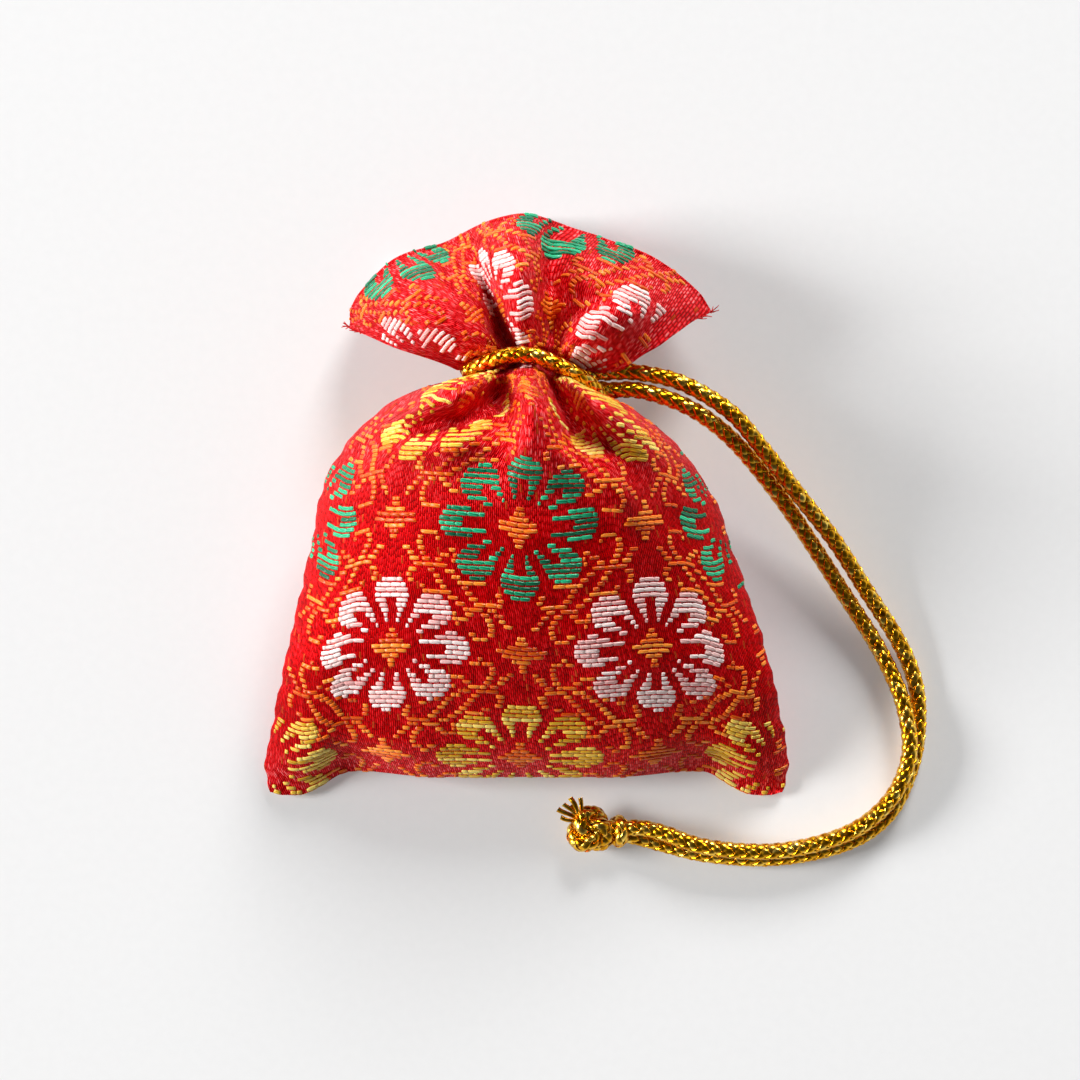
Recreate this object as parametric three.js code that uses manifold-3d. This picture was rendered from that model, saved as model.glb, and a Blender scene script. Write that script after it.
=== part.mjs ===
// Scented sachet: a stuffed brocade pouch, gathered at the neck and tied with a gold cord.
// Millimetres, +Z up. The pouch lies on its back, with its frill towards +Y.
import * as THREE from "three";
import { ParametricGeometry } from "three/addons/geometries/ParametricGeometry.js";
import { mergeVertices } from "three/addons/utils/BufferGeometryUtils.js";
import Module from "manifold-3d";

// Driving dimensions
const POUCH_LENGTH = 66.4; // corner tips to the top of the frill
const BASE_WIDTH = 60.4; // across the two bottom corners
const LEFT_SHOULDER = 23.9; // half width where the shoulders begin
const RIGHT_SHOULDER = 22.8;
const RIGHT_BULGE = 0.9; // how far the right side swells beyond a straight edge
const BELLY_HEIGHT = 24; // table to the crown of the belly
const SEAM_HEIGHT = 8; // side seams above the table
const FOLD_HEIGHT = 6.5; // middle of the bottom fold above the table
const CORNER_HEIGHT = 1; // the bottom corners droop almost to the table
const CORNER_DROP = 2.2; // corner tips beyond the bottom fold
const CORNER_ROUND = 1.4; // how far the corner tips round in
const BELLY_RISE = 37; // length over which the front rises from the bottom to its crown
const BASE_ROUND = 10; // length over which the back sinks to the table
const BACK_SAG = 2.5; // how far the back would sink below the table if it could
const EDGE_ROLL = 1.6; // how far the bottom fold rolls under
const EDGE_LENGTH = 3; // length over which it rolls
const SHOULDER_LENGTH = 17.5; // length over which the belly falls to the neck

const NECK_WIDTH = 12;
const NECK_THICKNESS = 8.4;
const NECK_OFFSET = 0.9; // neck axis right of the pouch's middle
const NECK_HEIGHT = 11; // neck axis above the table
const NECK_BAND = 2.5; // straight length that the cord ties round
const NECK_SKEW = 0.8; // the tie sits lower on the right by this much each side
const NECK_DROOP = 1.8; // both ends of the neck hang lower than its middle
const NECK_FOLD = 1.5; // gathers at the neck, crest to mid line
const SHOULDER_FOLD = 1.1; // more depth of the front gathers where they spread below the neck

const FRILL_LENGTH = 16;
const FRILL_BASE = 7.6; // half width of the frill just above the tie
const FRILL_DROOP = 3.35; // how far its two side edges hang
const DROOP_SKEW = 0.65; // more of it on the left than on the right
const FRILL_SPREAD = THREE.MathUtils.degToRad(60); // fan angle each side
const FRILL_HUMP = 2.2; // how far the frill swells up from the neck
const FRILL_DROP = 6; // how far it then curls down to the hem
const HEM_FOLD = 2.6; // gathers at the hem, crest to mid line
const LAYER_GAP = 0.7; // least half distance of the two cloth layers
const HEM_THICKNESS = 0.5;
const MOUTH_DEPTH = 5; // how far the closed mouth is open below the hem

const CORD_DIAMETER = 1.75;
const CLEARANCE = 0.3; // between touching pieces
const TUCK_RISE = 1.6; // where the end of the tie crosses over the two runs
const TUCK_OUT = 0.6; // how far it swings out round them

const KNOT_DIAMETER = 5.6;
const KNOT_STRAND = 1.5; // the cord drawn tight inside the knot
const COLLAR_DIAMETER = 3.7; // where the two runs enter the knot
const TUFT_LENGTH = 2.4; // frayed cut ends beyond the knot
const TUFT_STRANDS = 5;
const TUFT_WIDTH = 0.8;
const TUFT_SPREAD = THREE.MathUtils.degToRad(44);
const TUFT_DIRECTION = THREE.MathUtils.degToRad(129); // seen from above, from +X

// Mesh densities
const COLUMNS = 52; // across one face of the pouch
const BODY_ROWS = 30;
const NECK_ROWS = 2;
const FRILL_ROWS = 12;
const MOUTH_ROWS = 3;
const CORD_SIDES = 8;

// Places along Y, from the middle of the pouch
const CORNER_Y = -POUCH_LENGTH / 2;
const FOLD_Y = CORNER_Y + CORNER_DROP;
const NECK_TOP = POUCH_LENGTH / 2 - FRILL_LENGTH;
const NECK_BASE = NECK_TOP - NECK_BAND;
const BODY_LENGTH = NECK_BASE - FOLD_Y;
const NECK_Y = (NECK_TOP + NECK_BASE) / 2;
const CORD_RADIUS = CORD_DIAMETER / 2;

const { lerp, smoothstep } = THREE.MathUtils;

// Brocade pouch: one cloth folded at the bottom, seamed at both sides and stuffed.
// Its surface runs round the girth in u and from the bottom fold to the mouth in v.

// Crests (1) and hollows (-1) of the gathers, from the left seam to the right seam:
// their place across the frill, their place across the shoulders, and which they are.
const FRONT_GATHERS = [
  [-1, -1, -1], [-0.68, -0.52, 1], [-0.36, -0.14, -1], [-0.08, 0.02, 1], [0.22, 0.26, -1], [0.6, 0.6, 1], [1, 1, -1],
];
const BACK_GATHERS = [
  [-1, -1, -1], [-0.7, -0.6, 1], [-0.4, -0.3, -0.6], [-0.12, -0.05, 1], [0.15, 0.2, -1], [0.5, 0.5, 1], [1, 1, -1],
];
const HOLLOW_SHARPNESS = 1.6; // above 1 the hollows are narrower than the crests

// Folds of the front below the neck, and of both layers of the frill. Each follows a line of points:
// place from the neck's middle, half width of the fold and its height, below zero for a hollow.
const SHOULDER_FOLDS = [
  [[-3.7, -1.0, 1.8, 1.2], [-9.0, -3.0, 2.2, 2.7], [-15.4, -5.4, 2.5, 1.7], [-18.9, -7.6, 2.6, 0.4]],
  [[-3.3, -2.6, 1.6, -1.6], [-4.2, -4.6, 1.9, -2.8], [-8.0, -6.4, 1.9, -2.4], [-12.9, -7.5, 1.9, -1.6]],
  [[-13.9, -10.0, 1.9, 0.6], [-6.9, -9.2, 1.9, 0.9], [-2.4, -10.0, 1.9, 0.3]],
  [[-0.8, -1.0, 1.5, 1.0], [-0.8, -5.0, 1.9, 1.4], [-0.7, -9.0, 2.2, 0.5], [-0.7, -11.4, 2.4, 0.1]],
  [[1.6, -1.4, 1.4, -1.4], [2.2, -3.8, 1.6, -2.2], [3.5, -6.4, 1.8, -1.8], [4.7, -8.6, 2.0, -0.7]],
  [[2.9, -1.2, 1.5, 1.4], [6.9, -4.4, 1.8, 2.4], [11.3, -7.6, 2.0, 1.8], [14.3, -10.6, 2.4, 0.5]],
  [[5.7, -7.4, 1.8, -0.8], [8.5, -9.4, 1.8, -1.0], [11.5, -11.8, 2.0, -0.4]],
  [[7.5, -2.2, 1.5, -0.9], [11.9, -5.2, 1.6, -0.9], [14.9, -8.4, 1.7, -0.4]],
];
const FRILL_FOLDS = [
  [[-7.1, 13.5, 1.4, -0.8], [-5.9, 10.0, 1.3, -1.6], [-4.5, 6.5, 1.2, -2.0], [-3.1, 2.4, 1.0, -1.2]],
  [[-1.9, 15.0, 2.2, 1.2], [-1.6, 10.0, 1.8, 1.7], [-1.4, 2.6, 1.2, 0.8]],
  [[1.7, 14.0, 1.7, -1.3], [1.6, 9.0, 1.5, -2.4], [1.8, 2.6, 1.1, -1.3]],
  [[-5.5, 2.4, 1.5, 1.0], [-11.9, 4.4, 2.4, 2.0], [-18.9, 7.4, 2.2, 1.2]],
  [[3.9, 2.4, 1.4, 1.0], [10.1, 5.0, 2.4, 1.8], [17.1, 7.4, 2.2, 1.2]],
  [[-12.4, 12.6, 1.5, -1.0], [-9.7, 8.6, 1.4, -1.2], [-7.3, 5.0, 1.2, -0.7]],
  [[11.6, 12.0, 1.6, -1.0], [8.5, 8.6, 1.5, -1.1], [5.7, 5.6, 1.2, -0.6]],
];

// The frill's reach beyond the neck, from the left seam to the right seam, over its length in the middle
const FRILL_OUTLINE = [
  [-1, -1.5], [-0.97, -0.5], [-0.91, 0.1], [-0.82, -0.2], [-0.65, -0.1], [-0.43, -1.3], [-0.25, -1.0], [0, 0],
  [0.26, -0.9], [0.43, -1.1], [0.62, -0.4], [0.9, 0.1], [0.97, 0.1], [1, -0.5],
];

function gatherWave(face, across, below) {
  const gathers = face > 0 ? FRONT_GATHERS : BACK_GATHERS;
  const places = gathers.map(([frill, shoulder]) => lerp(frill, shoulder, below));
  let next = 1;
  while (next < places.length - 1 && across > places[next]) next += 1;
  const part = smoothstep(across, places[next - 1], places[next]);
  const sunk = (1 - lerp(gathers[next - 1][2], gathers[next][2], part)) / 2;
  return 1 - 2 * sunk ** HOLLOW_SHARPNESS;
}

function foldLift(x, y, folds) {
  let lift = 0;
  for (const fold of folds) {
    let nearest = Infinity;
    let raised = 0;
    for (let next = 1; next < fold.length; next += 1) {
      const [x0, y0, width0, height0] = fold[next - 1];
      const [x1, y1, width1, height1] = fold[next];
      const along = ((x - x0) * (x1 - x0) + (y - y0) * (y1 - y0)) / ((x1 - x0) ** 2 + (y1 - y0) ** 2);
      const part = Math.min(1, Math.max(0, along));
      const gap = Math.hypot(x - lerp(x0, x1, part), y - lerp(y0, y1, part));
      if (gap >= nearest) continue;
      nearest = gap;
      raised = lerp(height0, height1, part) * Math.exp(-((gap / lerp(width0, width1, part)) ** 2));
    }
    lift += raised;
  }
  return lift;
}

function frillOutline(across) {
  let next = 1;
  while (next < FRILL_OUTLINE.length - 1 && across > FRILL_OUTLINE[next][0]) next += 1;
  const [start, from] = FRILL_OUTLINE[next - 1];
  const [end, to] = FRILL_OUTLINE[next];
  return lerp(from, to, smoothstep(across, start, end));
}

function halfWidth(across, along) {
  const shoulder = lerp(LEFT_SHOULDER, RIGHT_SHOULDER, (across + 1) / 2);
  const length = along * BODY_LENGTH;
  const taper = BODY_LENGTH - NECK_Y;
  if (length < taper) {
    const bulge = across > 0 ? RIGHT_BULGE * Math.sin((Math.PI * length) / taper) : 0;
    const tip = CORNER_ROUND * (1 - Math.min(1, length / (CORNER_DROP + CORNER_ROUND))) ** 2;
    return Math.min(BASE_WIDTH / 2, lerp(BASE_WIDTH / 2 + 0.6, shoulder, length / taper) + bulge) - tip;
  }
  const climb = (length - taper) / (BODY_LENGTH - taper);
  const roundness = lerp(1.95, 1.42, (across + 1) / 2);
  const arc = (1 - climb ** roundness) ** (1 / roundness);
  return lerp(NECK_WIDTH / 2, shoulder, arc);
}

function seamHeight(across, along) {
  const low = lerp(FOLD_HEIGHT, CORNER_HEIGHT, smoothstep(Math.abs(across), 0.38, 0.7));
  const middle = lerp(low, SEAM_HEIGHT, smoothstep(along, 0, 0.35));
  return lerp(middle, NECK_HEIGHT, smoothstep(along, 0.65, 1));
}

function foldLine(across) {
  const side = Math.abs(across);
  const dimple = 0.6 * smoothstep(side, 0.35, 0.66) * (1 - smoothstep(side, 0.66, 0.8));
  const corner = smoothstep(side, 0.7, 0.9) - 0.4 * smoothstep(side, 0.94, 1) ** 2;
  return FOLD_Y + dimple - CORNER_DROP * corner;
}

function neckDroop(across) {
  return NECK_SKEW * across + NECK_DROOP * across * across;
}

function bodyPoint(across, face, along, target) {
  const length = along * BODY_LENGTH;
  const rise = 1 - (1 - Math.min(1, length / BELLY_RISE)) ** 1.65;
  const sink = Math.sqrt(1 - (1 - Math.min(1, length / BASE_ROUND)) ** 2);
  const roll = EDGE_ROLL * (1 - Math.min(1, length / EDGE_LENGTH)) ** 2;
  const fall = Math.max(0, 1 - (BODY_LENGTH - length) / SHOULDER_LENGTH);
  const fullness = (1 - fall ** 2.8) ** 0.75;
  const spread = face > 0 ? SHOULDER_FOLD * smoothstep(1 - fall, 0, 0.2) : 0;
  const gather = smoothstep(fall, 0.1, 0.85) * (NECK_FOLD + spread);
  const folds = gather * gatherWave(face, across, smoothstep(1 - fall, 0, 0.3));
  const rim = Math.sqrt(Math.max(0, 1 - across * across));
  const neckHalf = NECK_THICKNESS / 2 - NECK_FOLD;
  const seam = seamHeight(across, along) - roll * (1 - smoothstep(Math.abs(across), 0.38, 0.7));
  const softness = smoothstep(along, 0, 0.35);
  const shift = NECK_OFFSET * smoothstep(fall, 0, 1);
  const x = across * halfWidth(across, along) + shift;
  const y = lerp(foldLine(across), NECK_BASE - neckDroop(across), along);
  if (face > 0) {
    const bulge = lerp(neckHalf, BELLY_HEIGHT - SEAM_HEIGHT, fullness) * rise;
    const pinch = lerp(lerp(1, 0.72, softness), 0.5, smoothstep(fall, 0.3, 1));
    const free = 1 - smoothstep(lerp(FOLD_Y, NECK_BASE, along), NECK_BASE - NECK_BAND, NECK_BASE);
    const lift = folds + free * foldLift(x - NECK_OFFSET, y - NECK_Y, SHOULDER_FOLDS);
    target.set(x, y, seam + bulge * rim ** (2 * pinch) + lift * rim);
  } else {
    const sag = lerp(neckHalf, SEAM_HEIGHT + BACK_SAG, fullness) * sink;
    const pinch = lerp(1.1, 0.55, softness);
    target.set(x, y, Math.max(0, seam - sag * rim ** (2 * pinch) - folds * rim));
  }
}

// Above the neck the cloth fans out. inside goes from the outer face (0) to the lining (1),
// and closed from the open hem (0) to where the two layers meet (1).
function frillPoint(across, face, along, inside, closed, target) {
  const rim = Math.sqrt(Math.max(0, 1 - across * across));
  const wave = gatherWave(face, across, 0);
  const open = smoothstep(along, 0, 1);
  const flare = smoothstep(along, 0, 0.2);
  const depth = lerp(NECK_FOLD, HEM_FOLD, open);
  const mid = lerp(NECK_THICKNESS / 2 - NECK_FOLD, HEM_FOLD + LAYER_GAP, open);
  const half = ((mid + depth * wave) * rim - inside * HEM_THICKNESS * rim) * (1 - closed);
  const angle = FRILL_SPREAD * across;
  const reach = (FRILL_LENGTH + along * frillOutline(across)) * along - inside * 0.4 * HEM_THICKNESS;
  const hang = lerp(NECK_DROOP, FRILL_DROOP - DROOP_SKEW * across, flare) * across * across;
  const base = lerp(NECK_WIDTH / 2, FRILL_BASE, flare) - inside * HEM_THICKNESS;
  const x = lerp(NECK_OFFSET, 0, open) + across * base + reach * Math.sin(angle);
  const y = NECK_TOP - NECK_SKEW * across * (1 - along) - hang + reach * Math.cos(angle);
  const free = smoothstep(FRILL_LENGTH * along, CLEARANCE, NECK_BAND);
  const lift = free * rim * foldLift(x - NECK_OFFSET, y - NECK_Y, FRILL_FOLDS);
  const crest = NECK_HEIGHT + FRILL_HUMP * Math.sin(Math.PI * along) - FRILL_DROP * along ** 2.5;
  // Where the frill droops to the table its four surfaces lie flat on each other.
  const stack = lerp(face > 0 ? 3 - inside : inside, 1.5, closed) * HEM_THICKNESS * rim;
  target.set(x, y, Math.max(CLEARANCE + stack, crest + lift + face * half));
}

function neckPoint(across, face, along, target) {
  frillPoint(across, face, 0, 0, 0, target);
  target.y -= NECK_BAND * (1 - along);
}

const POUCH_ROWS = BODY_ROWS + NECK_ROWS + FRILL_ROWS + MOUTH_ROWS;

function pouchPoint(u, v, target) {
  const face = u <= 0.5 ? 1 : -1;
  const turn = face > 0 ? 2 * u : 2 - 2 * u;
  const across = -Math.cos(Math.PI * turn);
  const row = Math.round(v * POUCH_ROWS);
  const neckRow = row - BODY_ROWS;
  const frillRow = neckRow - NECK_ROWS;
  const mouthRow = frillRow - FRILL_ROWS;
  if (neckRow <= 0) {
    bodyPoint(across, face, (1 - Math.cos((Math.PI * row) / BODY_ROWS)) / 2, target);
  } else if (frillRow <= 0) {
    neckPoint(across, face, neckRow / NECK_ROWS, target);
  } else if (mouthRow <= 0) {
    frillPoint(across, face, frillRow / FRILL_ROWS, 0, 0, target);
  } else {
    const sunk = (mouthRow - 1) / (MOUTH_ROWS - 1);
    const along = 1 - (MOUTH_DEPTH / FRILL_LENGTH) * sunk;
    frillPoint(across, face, along, 1, sunk, target);
  }
}

function brocadePouch() {
  const surface = new ParametricGeometry(pouchPoint, 2 * COLUMNS, POUCH_ROWS);
  return closedGeometry(surface);
}

// Closed solids are handed on as welded positions and triangles.
function closedGeometry(geometry) {
  const bare = new THREE.BufferGeometry();
  bare.setAttribute("position", geometry.getAttribute("position"));
  if (geometry.index) bare.setIndex(geometry.index);
  const welded = mergeVertices(bare, 1e-3);
  welded.computeVertexNormals();
  return welded;
}

// Gold cord: one braided length, tied once round the neck, with both runs looping out together.
function cordTube(points, diameter, stepLength) {
  const path = new THREE.CatmullRomCurve3(points, false, "centripetal");
  const section = new THREE.Shape().absarc(0, 0, diameter / 2, 0, 2 * Math.PI);
  const steps = Math.max(2, Math.round(path.getLength() / stepLength));
  const sweep = { steps, curveSegments: CORD_SIDES, bevelEnabled: false, extrudePath: path };
  return new THREE.ExtrudeGeometry(section, sweep);
}

function neckTie() {
  const sideways = NECK_WIDTH / 2 + CLEARANCE + CORD_RADIUS;
  const upright = NECK_THICKNESS / 2 + CLEARANCE + CORD_RADIUS;
  const points = [];
  for (let step = 0; step <= 16; step += 1) {
    const angle = THREE.MathUtils.degToRad(lerp(-35, -318, step / 16));
    const across = Math.cos(angle);
    const y = NECK_Y - neckDroop(across);
    points.push(new THREE.Vector3(NECK_OFFSET + sideways * across, y, NECK_HEIGHT + upright * Math.sin(angle)));
  }
  // The last of the turn crosses over the two runs and tucks down behind them.
  const outside = NECK_OFFSET + sideways + 2 * CLEARANCE;
  const low = NECK_Y - neckDroop(1);
  points.push(new THREE.Vector3(outside, low, NECK_HEIGHT + TUCK_RISE));
  points.push(new THREE.Vector3(outside + TUCK_OUT, low - CLEARANCE, NECK_HEIGHT));
  points.push(new THREE.Vector3(outside + CLEARANCE, low, NECK_HEIGHT - TUCK_RISE));
  return cordTube(points, CORD_DIAMETER, CORD_DIAMETER * 0.7);
}

// Routes of the two runs, chosen by hand from the tie to the knot
const OUTER_ROUTE = [
  [10.6, 15.1, 9.9], [12.6, 15.1, 9.9], [17.7, 13.9, 9.8], [23.1, 10.7, 9.2], [26.8, 6.6, 8.0],
  [31.1, 1.25, 6.2], [35.3, -4.0, 4.4], [38.9, -9.5, 2.9], [42.5, -15.0, 1.7], [44.4, -19.1, 1.1],
  [45.1, -22.8, 0.9], [44.9, -27.4, 0.9], [43.8, -31.4, 0.9], [41.9, -35.1, 0.9], [38.6, -37.9, 0.9],
  [33.6, -39.7, 0.9], [27.3, -40.5, 0.9], [20.5, -40.0, 0.9], [15.9, -38.9, 0.9], [13.8, -38.2, 1.0],
];
const INNER_ROUTE = [
  [10.6, 13.1, 9.9], [12.6, 13.1, 9.8], [16.8, 11.9, 9.5], [20.4, 10.0, 8.8], [24.2, 6.8, 7.4],
  [28.8, 1.3, 5.4], [32.5, -4.0, 3.9], [36.1, -9.5, 2.7], [39.7, -15.0, 1.9], [41.9, -19.1, 1.9],
  [43.3, -22.8, 2.4], [44.0, -27.4, 2.9], [43.2, -31.1, 2.9], [41.2, -34.3, 2.9], [37.8, -37.0, 2.9],
  [32.9, -38.8, 2.9], [27.2, -39.6, 2.9], [20.4, -39.0, 2.9], [15.9, -37.3, 2.8], [13.8, -36.6, 2.7],
];

function cordRun(route) {
  const points = route.map(([x, y, z]) => new THREE.Vector3(x, y, z));
  return cordTube(points, CORD_DIAMETER, CORD_DIAMETER * 2);
}

// End knot: both ends tied in one overhand knot, with the cut ends frayed beyond it.
const wasm = await Module();
wasm.setup();

function toManifold(geometry) {
  const welded = closedGeometry(geometry);
  const vertProperties = new Float32Array(welded.getAttribute("position").array);
  const triVerts = new Uint32Array(welded.index.array);
  return new wasm.Manifold(new wasm.Mesh({ numProp: 3, vertProperties, triVerts }));
}

function toGeometry(manifold) {
  const mesh = manifold.getMesh();
  const geometry = new THREE.BufferGeometry();
  geometry.setAttribute("position", new THREE.BufferAttribute(new Float32Array(mesh.vertProperties), 3));
  geometry.setIndex(new THREE.BufferAttribute(new Uint32Array(mesh.triVerts), 1));
  return closedGeometry(geometry);
}

class OverhandCurve extends THREE.Curve {
  getPoint(t, target = new THREE.Vector3()) {
    const turn = 2 * Math.PI * t;
    const size = (KNOT_DIAMETER - KNOT_STRAND) / 8;
    const x = size * (Math.sin(turn) + 3 * Math.sin(2 * turn));
    const y = size * (Math.cos(turn) - 3 * Math.cos(2 * turn));
    return target.set(x, y, -0.5 * (KNOT_STRAND + CLEARANCE) * Math.sin(3 * turn));
  }
}

function endKnot() {
  const loops = new THREE.TubeGeometry(new OverhandCurve(), 42, KNOT_STRAND / 2, CORD_SIDES, true);
  loops.rotateZ(-Math.PI / 6);
  const collar = new THREE.SphereGeometry(COLLAR_DIAMETER / 2, 14, 10);
  collar.translate((KNOT_DIAMETER + COLLAR_DIAMETER) / 2 - CLEARANCE, 0, 0);
  let solid = toManifold(loops).add(toManifold(collar));
  const length = KNOT_DIAMETER / 2 + TUFT_LENGTH;
  for (let strand = 0; strand < TUFT_STRANDS; strand += 1) {
    const strip = new THREE.CylinderGeometry(TUFT_WIDTH / 2, TUFT_WIDTH / 3, length, 6);
    strip.rotateZ(-Math.PI / 2);
    strip.translate(length / 2, 0, 0);
    strip.rotateY(0.3 * Math.cos(2.5 * strand));
    strip.rotateZ(TUFT_DIRECTION + TUFT_SPREAD * (strand / (TUFT_STRANDS - 1) - 0.5));
    solid = solid.add(toManifold(strip));
  }
  return toGeometry(solid.simplify(0.02));
}

const KNOT_PLACE = [7.4, -37.2, CORD_DIAMETER + CLEARANCE / 2];

// Finishes
const brocade = new THREE.MeshStandardMaterial({ color: 0xc8142a, roughness: 0.55, metalness: 0 });
const goldThread = new THREE.MeshStandardMaterial({ color: 0xc8960a, roughness: 0.3, metalness: 0.8 });

function piece(name, geometry, material) {
  const mesh = new THREE.Mesh(geometry, material);
  mesh.name = name;
  return mesh;
}

const sachet = new THREE.Group();
sachet.name = "scented_sachet";
sachet.add(piece("brocade_pouch", brocadePouch(), brocade));
sachet.add(piece("neck_tie", closedGeometry(neckTie()), goldThread));
sachet.add(piece("cord_run_outer", closedGeometry(cordRun(OUTER_ROUTE)), goldThread));
sachet.add(piece("cord_run_inner", closedGeometry(cordRun(INNER_ROUTE)), goldThread));

const knot = piece("end_knot", endKnot(), goldThread);
knot.position.set(...KNOT_PLACE);
sachet.add(knot);

export default sachet;
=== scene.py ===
# Scented sachet: a stuffed brocade pouch, gathered at the neck and tied with a gold braided cord.
# It lies on its back on a pale table and is seen from straight above.
import math

import bmesh
import bpy
import numpy as np
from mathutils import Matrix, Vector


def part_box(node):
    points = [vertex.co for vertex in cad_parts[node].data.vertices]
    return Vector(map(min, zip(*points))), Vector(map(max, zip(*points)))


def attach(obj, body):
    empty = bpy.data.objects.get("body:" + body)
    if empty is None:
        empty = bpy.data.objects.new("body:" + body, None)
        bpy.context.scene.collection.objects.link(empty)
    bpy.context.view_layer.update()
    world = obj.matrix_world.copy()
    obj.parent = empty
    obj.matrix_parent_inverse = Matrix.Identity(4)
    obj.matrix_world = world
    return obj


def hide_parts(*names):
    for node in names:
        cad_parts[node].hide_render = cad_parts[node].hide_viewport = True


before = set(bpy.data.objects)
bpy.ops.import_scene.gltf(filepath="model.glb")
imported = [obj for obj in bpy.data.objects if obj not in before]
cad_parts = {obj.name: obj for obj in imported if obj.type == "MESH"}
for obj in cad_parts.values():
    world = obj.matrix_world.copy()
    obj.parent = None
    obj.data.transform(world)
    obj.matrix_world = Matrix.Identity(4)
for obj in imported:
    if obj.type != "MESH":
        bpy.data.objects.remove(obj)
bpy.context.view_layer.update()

# Brocade pouch
# The bag is one red satin cloth, folded at the bottom, sewn up both sides and turned in at the mouth.
# It is stuffed with fragrant chips, drawn into folds at the neck, and opens above it into a frill.
# Sizes are in millimetres. Parts and spans are shares of the width or the length, and curves are powers.
MM = 0.001
pouch_low, pouch_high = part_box("brocade_pouch")
POUCH_LENGTH = (pouch_high[1] - pouch_low[1]) / MM
BASE_WIDTH = 60.4
LEFT_SHOULDER = 23.9
RIGHT_SHOULDER = 22.8
RIGHT_BULGE = 0.9
BELLY_HEIGHT = 24.2
SEAM_HEIGHT = 8.0
FOLD_HEIGHT = 6.5
CORNER_HEIGHT = 1.0
CORNER_DROP = 2.2
CORNER_PLUMP = 4.2
CORNER_ROUND = 0.8
CORNER_REACH = 4.0
CORNER_SPAN = (0.7, 0.9)
TIP_RISE = 0.15
TIP_START = 0.94
FOLD_DIMPLE = 0.6
DIMPLE_SPAN = (0.35, 0.66, 0.8)
SEAM_START = 0.6
BASE_ROUND = 10.0
BELLY_RISE = 37.0
BELLY_CURVE = 1.65
BACK_SAG = 2.5
EDGE_ROLL = 2.8
EDGE_LENGTH = 4.4
SHOULDER_LENGTH = 17.5
SHOULDER_ROUND = (1.95, 1.42)
SHOULDER_CURVE = (2.8, 0.75)
NECK_WIDTH = 13.2
NECK_THICKNESS = 8.4
NECK_OFFSET = 0.9
NECK_HEIGHT = 11.0
NECK_BAND = 1.6
NECK_SKEW = 0.8
NECK_DROOP = 1.8
NECK_FOLD = 1.5
SHOULDER_FOLD = 1.1
FRILL_LENGTH = 15.7
FRILL_BASE = 7.6
FRILL_DROOP = 3.35
DROOP_SKEW = 0.65
FRILL_SPREAD = math.radians(60)
FRILL_HUMP = 2.2
FRILL_DROP = 6.0
DROP_CURVE = 2.5
FLARE_PART = 0.2
HEM_FOLD = 2.6
LAYER_GAP = 0.7
HEM_THICKNESS = 0.8
HEM_ROUND = 0.35
LINING_DEPTH = 0.9
TABLE_GAP = 0.3
FOLD_FADE = 2.0
FRILL_FADE = (0.3, 3.0)
LUMP_LOWEST = 1.0
NECK_TOP = POUCH_LENGTH / 2 - FRILL_LENGTH - HEM_ROUND
NECK_BASE = NECK_TOP - NECK_BAND
FOLD_LINE = -POUCH_LENGTH / 2 + CORNER_DROP
BODY_LENGTH = NECK_BASE - FOLD_LINE

# How the section changes: the part of the body's height over which the flat bottom grows round,
# where the corners droop, where the gathers start and fan out, and how full the section is drawn.
SOFT_PART = 0.35
DROOP_SPAN = (0.38, 0.7)
PLUMP_START = 5.0
GATHER_SPAN = (0.1, 0.85)
FAN_PART = 0.3
SPREAD_PART = 0.2
NECK_RISE = (0.65, 1)
FRONT_PINCH = (0.7, 0.72, 0.5)
BACK_PINCH = (1.1, 0.55)

# How finely the cloth is drawn: points from seam to seam, and rows from the bottom fold to the lining
COLUMNS = 140
BODY_ROWS = 110
NECK_ROWS = 8
FRILL_ROWS = 46
HEM_ROWS = 6
LINING_ROWS = 12

# Flat cloth: one panel's width, and its length from the bottom fold to the neck and to the hem
PANEL_WIDTH = 61.0
FREE_CLOTH = 45.0
NECK_CLOTH = 58.0
HEM_CLOTH = 78.2
FRILL_SHIFT = 6.3
MIDDLE_CREST = 3

# How far the frill reaches beyond the neck, from the left seam to the right seam
FRILL_PLACES = (-1, -0.97, -0.91, -0.82, -0.65, -0.43, -0.25, 0, 0.26, 0.43, 0.62, 0.9, 0.97, 1)
FRILL_REACH = (14.0, 15.0, 15.8, 15.7, 15.8, 14.5, 15.0, 15.65, 14.8, 14.6, 15.3, 15.8, 15.8, 15.0)
LOBE_GRID = np.linspace(-1.2, 1.2, 241)
LOBE_BLUR = np.hanning(19) / np.hanning(19).sum()
LOBES = np.convolve(np.interp(LOBE_GRID, FRILL_PLACES, FRILL_REACH), LOBE_BLUR, "same")

# Crests (1) and hollows (-1) of the gathers from the left seam to the right seam:
# their place across the frill, across the shoulders, and which they are.
FRONT_GATHERS = [
    (-1, -1, -1), (-0.68, -0.52, 1), (-0.36, -0.14, -1), (-0.08, 0.02, 1),
    (0.22, 0.26, -1), (0.6, 0.6, 1), (1, 1, -1),
]
BACK_GATHERS = [
    (-1, -1, -1), (-0.7, -0.6, 1), (-0.4, -0.3, -0.6), (-0.12, -0.05, 1),
    (0.15, 0.2, -1), (0.5, 0.5, 1), (1, 1, -1),
]

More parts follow.
